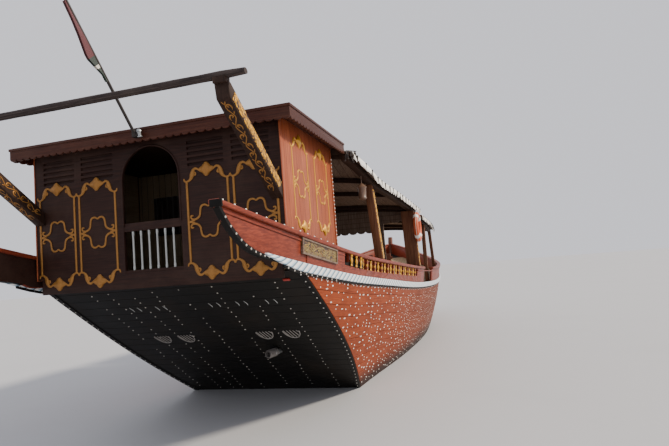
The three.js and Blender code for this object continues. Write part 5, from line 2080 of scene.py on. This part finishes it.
@dataclass(frozen=True)
class Canopy:
    """One canopy: a canvas sheet over dark boards, its edges hanging in a ragged fringe."""

    name: str
    rows: tuple[Point, ...]
    beams: tuple[float, ...]
    camber: float = 0.23
    thick: float = 0.04
    fringe: float = 0.095
    cloth_wide: float = 5.2
    seed: int = 3
    torn: bool = False

    def at(self, y: float, column: int) -> float:
        """Reads the half width (column 1) or the eave's height (2) at a distance forward."""
        return HullLines(stations=self.rows).along(y, column)

    def cloth(self) -> None:
        """Hangs the canvas with a slight sag between the beams and a ragged lower edge."""
        start, end = self.rows[0][0], self.rows[-1][0]
        dice = random.Random(self.seed)
        steps = 150
        rags = [dice.choice((0.7, 1.0, 1.05, 1.1)) for _ in range(steps + 1)]
        hang = 0.05

        def droop(y: float) -> float:
            """Gives how far the canvas sags at a distance forward."""
            before = max((b for b in self.beams if b <= y), default=start)
            after = min((b for b in self.beams if b > y), default=end)
            return 0.012 * sin(pi * (y - before) / max(after - before, 0.1))

        def place(u: float, v: float) -> Vector:
            """Gives the canvas's point at shares along and across it.

            Args:
                u: Share along it.
                v: Share across it.

            Returns:
                The point.
            """
            y = start + (end - start) * u
            half, eave = self.at(y, 1), self.at(y, 2)
            if hang <= v <= 1 - hang:
                s = 2 * (v - hang) / (1 - 2 * hang) - 1
                lift = self.thick - 0.004 - droop(y) * (1 - s * s)
                return Vector((s * half, y, eave + self.camber * (1 - s * s) + lift))
            down = (hang - v) / hang if v < hang else (v - 1 + hang) / hang
            sign = -1 if v < hang else 1
            rag = rags[round(u * steps)]
            flare = 0.016 + 0.007 * sin(40 * y + sign)
            return Vector((sign * (half + flare * min(1, 3 * down)), y,
                           eave + self.thick - 0.006 - down * (self.fringe + self.thick - 0.01) * rag))

        long = end - start
        grid = bent_grid(f"{self.name}_canvas", steps, 60, place,
                         lambda u, v: Vector((u * long, v * self.cloth_wide, 0)))
        piece = faced(grid, UP)
        modify(piece, "SOLIDIFY", thickness=0.003, offset=-1.0)
        pick(piece)
        bpy.ops.object.shade_smooth()
        fitted(piece, CANVAS, nodes=[self.name])

    def lining(self) -> None:
        """Boards the canopy's underside."""
        start, end = self.rows[0][0] + 0.01, self.rows[-1][0] - 0.01

        def place(u: float, v: float) -> Vector:
            """Gives the lining's point at shares along and across it."""
            y = start + (end - start) * u
            s = 2 * v - 1
            half, eave = self.at(y, 1) - 0.004, self.at(y, 2)
            return Vector((s * half, y, eave + 0.018 + self.camber * (1 - s * s)))

        piece = plank_between(f"{self.name}_lining", 24, place, 0.017, 0.002, UP, rows=24)
        fitted(piece, LINING)

    def lashings(self) -> None:
        """Ties the canvas to the side plates with short dark lashings."""
        seed = turned("tie", [(0, 0.012), (0.05, 0.008), (0.1, 0.003)], ORIGIN, UP, 6)
        dice = random.Random(self.seed + 1)
        places = []
        y = self.rows[0][0] + 0.12
        while y < self.rows[-1][0] - 0.1:
            for side in Side:
                point = Vector((side.value * (self.at(y, 1) + 0.021), y, self.at(y, 2) + 0.02))
                places.append(Matrix.Translation(point) @ Matrix.Rotation(pi, 4, "X")
                              @ Matrix.Diagonal((1, 1, dice.uniform(0.9, 1.1), 1)))
            y += dice.uniform(0.2, 0.34)
        fitted(scattered(f"{self.name}_lashings", seed, places), BLACK)

    def rags(self) -> None:
        """Leaves torn ends of cloth hanging at both corners by the cabin's roof."""
        dice = random.Random(self.seed + 2)
        start = self.rows[0][0]
        half, eave = self.rows[0][1], self.rows[0][2]
        for side in Side:
            strips = []
            for number in range(7):
                s = 0.955 + 0.012 * number
                long, wide = dice.uniform(0.1, 0.22), dice.uniform(0.03, 0.06)
                top = Vector((side.value * s * half, start + 0.01,
                              eave + self.camber * (1 - s * s) + self.thick + 0.002))
                lean = Vector((side.value * dice.uniform(-0.04, 0.08), -0.05 - 0.1 * dice.random(), -long))

                def hang(u: float, v: float) -> Vector:
                    """Gives the strip's point at shares across and down it."""
                    across = Vector((wide * (u - 0.5) * (1 - 0.7 * v), 0.01 * sin(9 * u + 4 * v), 0))
                    return top + across + lean * v + Vector((0, 0.03 * v * v, 0.02 * sin(3 * v)))

                strips.append(bent_grid("strip", 3, 6, hang, lambda u, v: Vector((u * wide, v * long, 0))))
            piece = joined(side.node(f"{self.name}_rags"), strips)
            modify(piece, "SOLIDIFY", thickness=0.0025, offset=0.0)
            fitted(piece, RAGS)

    def build(self) -> None:
        """Builds the canopy."""
        self.cloth()
        if self.torn:
            self.rags()
        self.lining()
        self.lashings()
        dressed(f"{self.name}_frame", DARK, 0.006)


MAIN_ROWS = (
    (2.33, 2.14, 3.98), (2.8, 2.28, 3.815), (3.4, 2.35, 3.665), (4.9, 2.48, 3.565), (7.35, 2.62, 3.42))
FORE_ROWS = ((7.5, 2.64, 3.28), (9.5, 2.66, 3.2), (12.6, 2.48, 3.18))


@dataclass(frozen=True)
class DeckFittings:
    """What stands on the deck: posts, screen, benches, wheel, hatch, engine, bitts and life rings."""

    ring_y: float = 6.75
    ring_x: float = 2.583
    ring_z: float = 2.975
    lantern_at: Point = (2.14, 2.85, 3.27)
    ring_radius: float = 0.3
    tube: float = 0.062
    wheel_y: float = 3.345
    wheel_z: float = 2.79

    def posts(self) -> None:
        """Dresses the canopy posts and gilds the outer faces of the main ones."""
        for side in Side:
            for name in ("canopy_post_1", "canopy_post_2", "fore_post_1", "fore_post_2"):
                dressed(side.node(name), POST, 0.01)
            for name in ("canopy_post_1", "canopy_post_2"):
                self.gilded(side, name)

    def gilded(self, side: Side, name: str) -> None:
        """Lays a carved and gilded strip on a main post's outer face.

        Args:
            side: The side of the boat.
            name: The post's name.
        """
        points = [vertex.co for vertex in frame["nodes"][side.node(name)].data.vertices]
        rail = LINES.rail_z(sum(point.y for point in points) / len(points))
        outer = [point for point in points if point.z > rail - 0.02]
        middle = (min(point.z for point in outer) + max(point.z for point in outer)) / 2
        foot, head = (max((point for point in outer if (point.z > middle) == high),
                          key=lambda point: point.x * side.value) for high in (False, True))
        depths = [point.y for point in points]
        centre = (min(depths) + max(depths)) / 2
        deep = max(depths) - min(depths)
        start = Vector((foot.x, centre, foot.z))
        run = Vector((head.x, centre, head.z)) - start
        line = run.normalized()
        outward = line.cross(Vector((0, side.value, 0)))
        if outward.x * side.value < 0:
            outward = -outward

        def strip(u: float, v: float) -> Vector:
            """Gives the point on the strip's face."""
            along = start + line * (0.03 + (run.length - 0.1) * u)
            return along + Vector((0, (v - 0.5) * (deep - 0.03), 0)) + outward * 0.008

        piece = plank_between(side.node(f"{name}_gilding"), 10, strip, 0.0075, 0.003, outward)
        fitted(piece, CARVED_SIDE)
        carving = carved(side.node(f"{name}_vine"), vine(run.length - 0.2, (deep - 0.04) * 0.92), 0.5, 3)
        turn = Matrix((line, -outward, line.cross(-outward))).transposed().to_4x4()
        carving.matrix_world = Matrix.Translation(start + line * 0.08 + outward * 0.007) @ turn
        settle(carving)
        fitted(right_way_out(carving), GOLD)

    def hoop(self, side: Side, name: str, wider: float, minor: float, major_steps: int, minor_steps: int
             ) -> Piece:
        """Makes a smooth ring on the life ring's centre.

        Args:
            side: The side of the boat.
            name: The ring's name without its side.
            wider: How much its radius is larger than the life ring's.
            minor: Half its thickness.
            major_steps: Number of steps round it.
            minor_steps: Number of steps round its section.

        Returns:
            The ring.
        """
        deselect()
        bpy.ops.mesh.primitive_torus_add(
            major_radius=self.ring_radius + wider, minor_radius=minor, major_segments=major_steps,
            minor_segments=minor_steps, location=(side.value * self.ring_x, self.ring_y, self.ring_z),
            rotation=(0, radians(90), 0))
        ring = settle(bpy.context.object)
        ring.name = side.node(name)
        bpy.ops.object.shade_smooth()
        return ring

    def life_ring(self, side: Side) -> None:
        """Dresses a life ring with white bands and a grab line.

        Args:
            side: The side of the boat.
        """
        nodes = ["life_ring"] if side is Side.STARBOARD else []
        fitted(self.hoop(side, "life_ring_shell", 0.0, self.tube - 0.002, 48, 14), ORANGE,
               nodes=nodes)
        bands = []
        wrap = self.tube + 0.003
        rings = [(-0.045, self.tube), (-0.04, wrap), (0.04, wrap), (0.045, self.tube)]
        for k in range(4):
            angle = radians(45 + 90 * k)
            along = Vector((0, -sin(angle), cos(angle)))
            middle = Vector((side.value * self.ring_x, self.ring_y + self.ring_radius * cos(angle),
                             self.ring_z + self.ring_radius * sin(angle)))
            bands.append(turned("wrap", rings, middle, along, 16))
        fitted(joined(side.node("ring_bands"), bands), WHITE)
        fitted(self.hoop(side, "ring_line", self.tube - 0.004, 0.006, 64, 6), ROPE)

    def lantern(self, side: Side) -> None:
        """Hangs a brown lantern by the cabin.

        Args:
            side: The side of the boat.
        """
        foot = Vector((side.value * self.lantern_at[0], self.lantern_at[1], self.lantern_at[2]))
        rings = [(0.0, 0.024), (0.014, 0.06), (0.035, 0.076), (0.05, 0.066), (0.2, 0.072), (0.22, 0.086),
                 (0.25, 0.056), (0.28, 0.024), (0.29, 0.006), (0.42, 0.006)]
        piece = turned(side.node("lantern"), rings, foot, UP, 16)
        fitted(piece, LAMP)

    def wheel(self) -> None:
        """Dresses the steering wheel and turns its hub and grips."""
        dressed("steering_wheel", BROWN, 0.003, "steering_wheel")
        parts = []
        rings = [(0, 0.013), (0.01, 0.015), (0.035, 0.018), (0.055, 0.014), (0.068, 0.015), (0.072, 0.006)]
        for i in range(6):
            angle = radians(60 * i)
            out = Vector((cos(angle), 0, sin(angle)))
            foot = Vector((0, self.wheel_y, self.wheel_z)) + out * 0.318
            parts.append(turned("grip", rings, foot, out, 10))
        parts.append(turned("boss", [(0, 0.052), (0.012, 0.05), (0.03, 0.03), (0.036, 0.01)],
                            Vector((0, self.wheel_y - 0.03, self.wheel_z)), Vector((0, -1, 0)), 20))
        fitted(joined("wheel_grips", parts), BRONZE, "steering_wheel")

    def engine(self) -> None:
        """Dresses the engine and adds its covers and a pipe."""
        dressed("engine", IRON, 0.03)
        parts = [timber_block("cover", (-0.17, 5.9 + 0.34 * k, 0.42), (0.17, 6.16 + 0.34 * k, 0.5), 0.02)
                 for k in range(3)]
        parts.append(
            turned("pipe", [(0, 0.045), (0.9, 0.045)], Vector((0.26, 5.9, 0.46)), Vector((0, 1, 0)), 14))
        fitted(joined("engine_covers", parts), IRON)

    def build(self) -> None:
        """Builds the fittings."""
        self.posts()
        dressed("deck_screen", SCREEN, 0.005)
        for node in ("helm_deck", "main_deck", "fore_deck", "bow_deck", "peak_deck"):
            dressed(node, DECKING, 0.003)
        for side in Side:
            dressed(side.node("bench"), BULWARK, 0.008)
            self.life_ring(side)
            self.lantern(side)
        dressed("helm_stand", BROWN, 0.012)
        dressed("engine_hatch_coaming", BROWN, 0.008)
        dressed("engine_hatch_lid", DECKING, 0.008, "engine_hatch_lid")
        dressed("bow_bitts", BROWN, 0.015)
        self.wheel()
        self.engine()


@dataclass(frozen=True)
class Underwater:
    """The keel, screw and rudder."""

    def build(self) -> None:
        """Dresses what lies under water."""
        dressed("keel", ANTIFOULING, 0.02)
        dressed("rudder", ANTIFOULING, 0.02, "rudder")
        dressed("propeller", BRONZE, 0.006, "propeller")


def main() -> None:
    """Builds the yard and the boat, in order."""
    logging.basicConfig(level=logging.INFO, format="%(name)s: %(message)s")
    jobs = (Yard(), HullSide(), NamePlate(), SternFace(), SternCabin(), RoofTrim(), SternGear(),
            Canopy("main_canopy", MAIN_ROWS, (2.4, 3.39, 4.85, 6.75, 7.25), torn=True),
            Canopy("fore_canopy", FORE_ROWS, (7.6, 8.7, 10.5, 12.3), seed=9),
            DeckFittings(), Underwater())
    for job in jobs:
        before = set(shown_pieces())
        job.build()
        for piece in set(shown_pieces()) - before:
            log.info("%s: %s, %d faces", type(job).__name__, piece.name, len(piece.data.polygons))


if __name__ == "__main__":
    main()
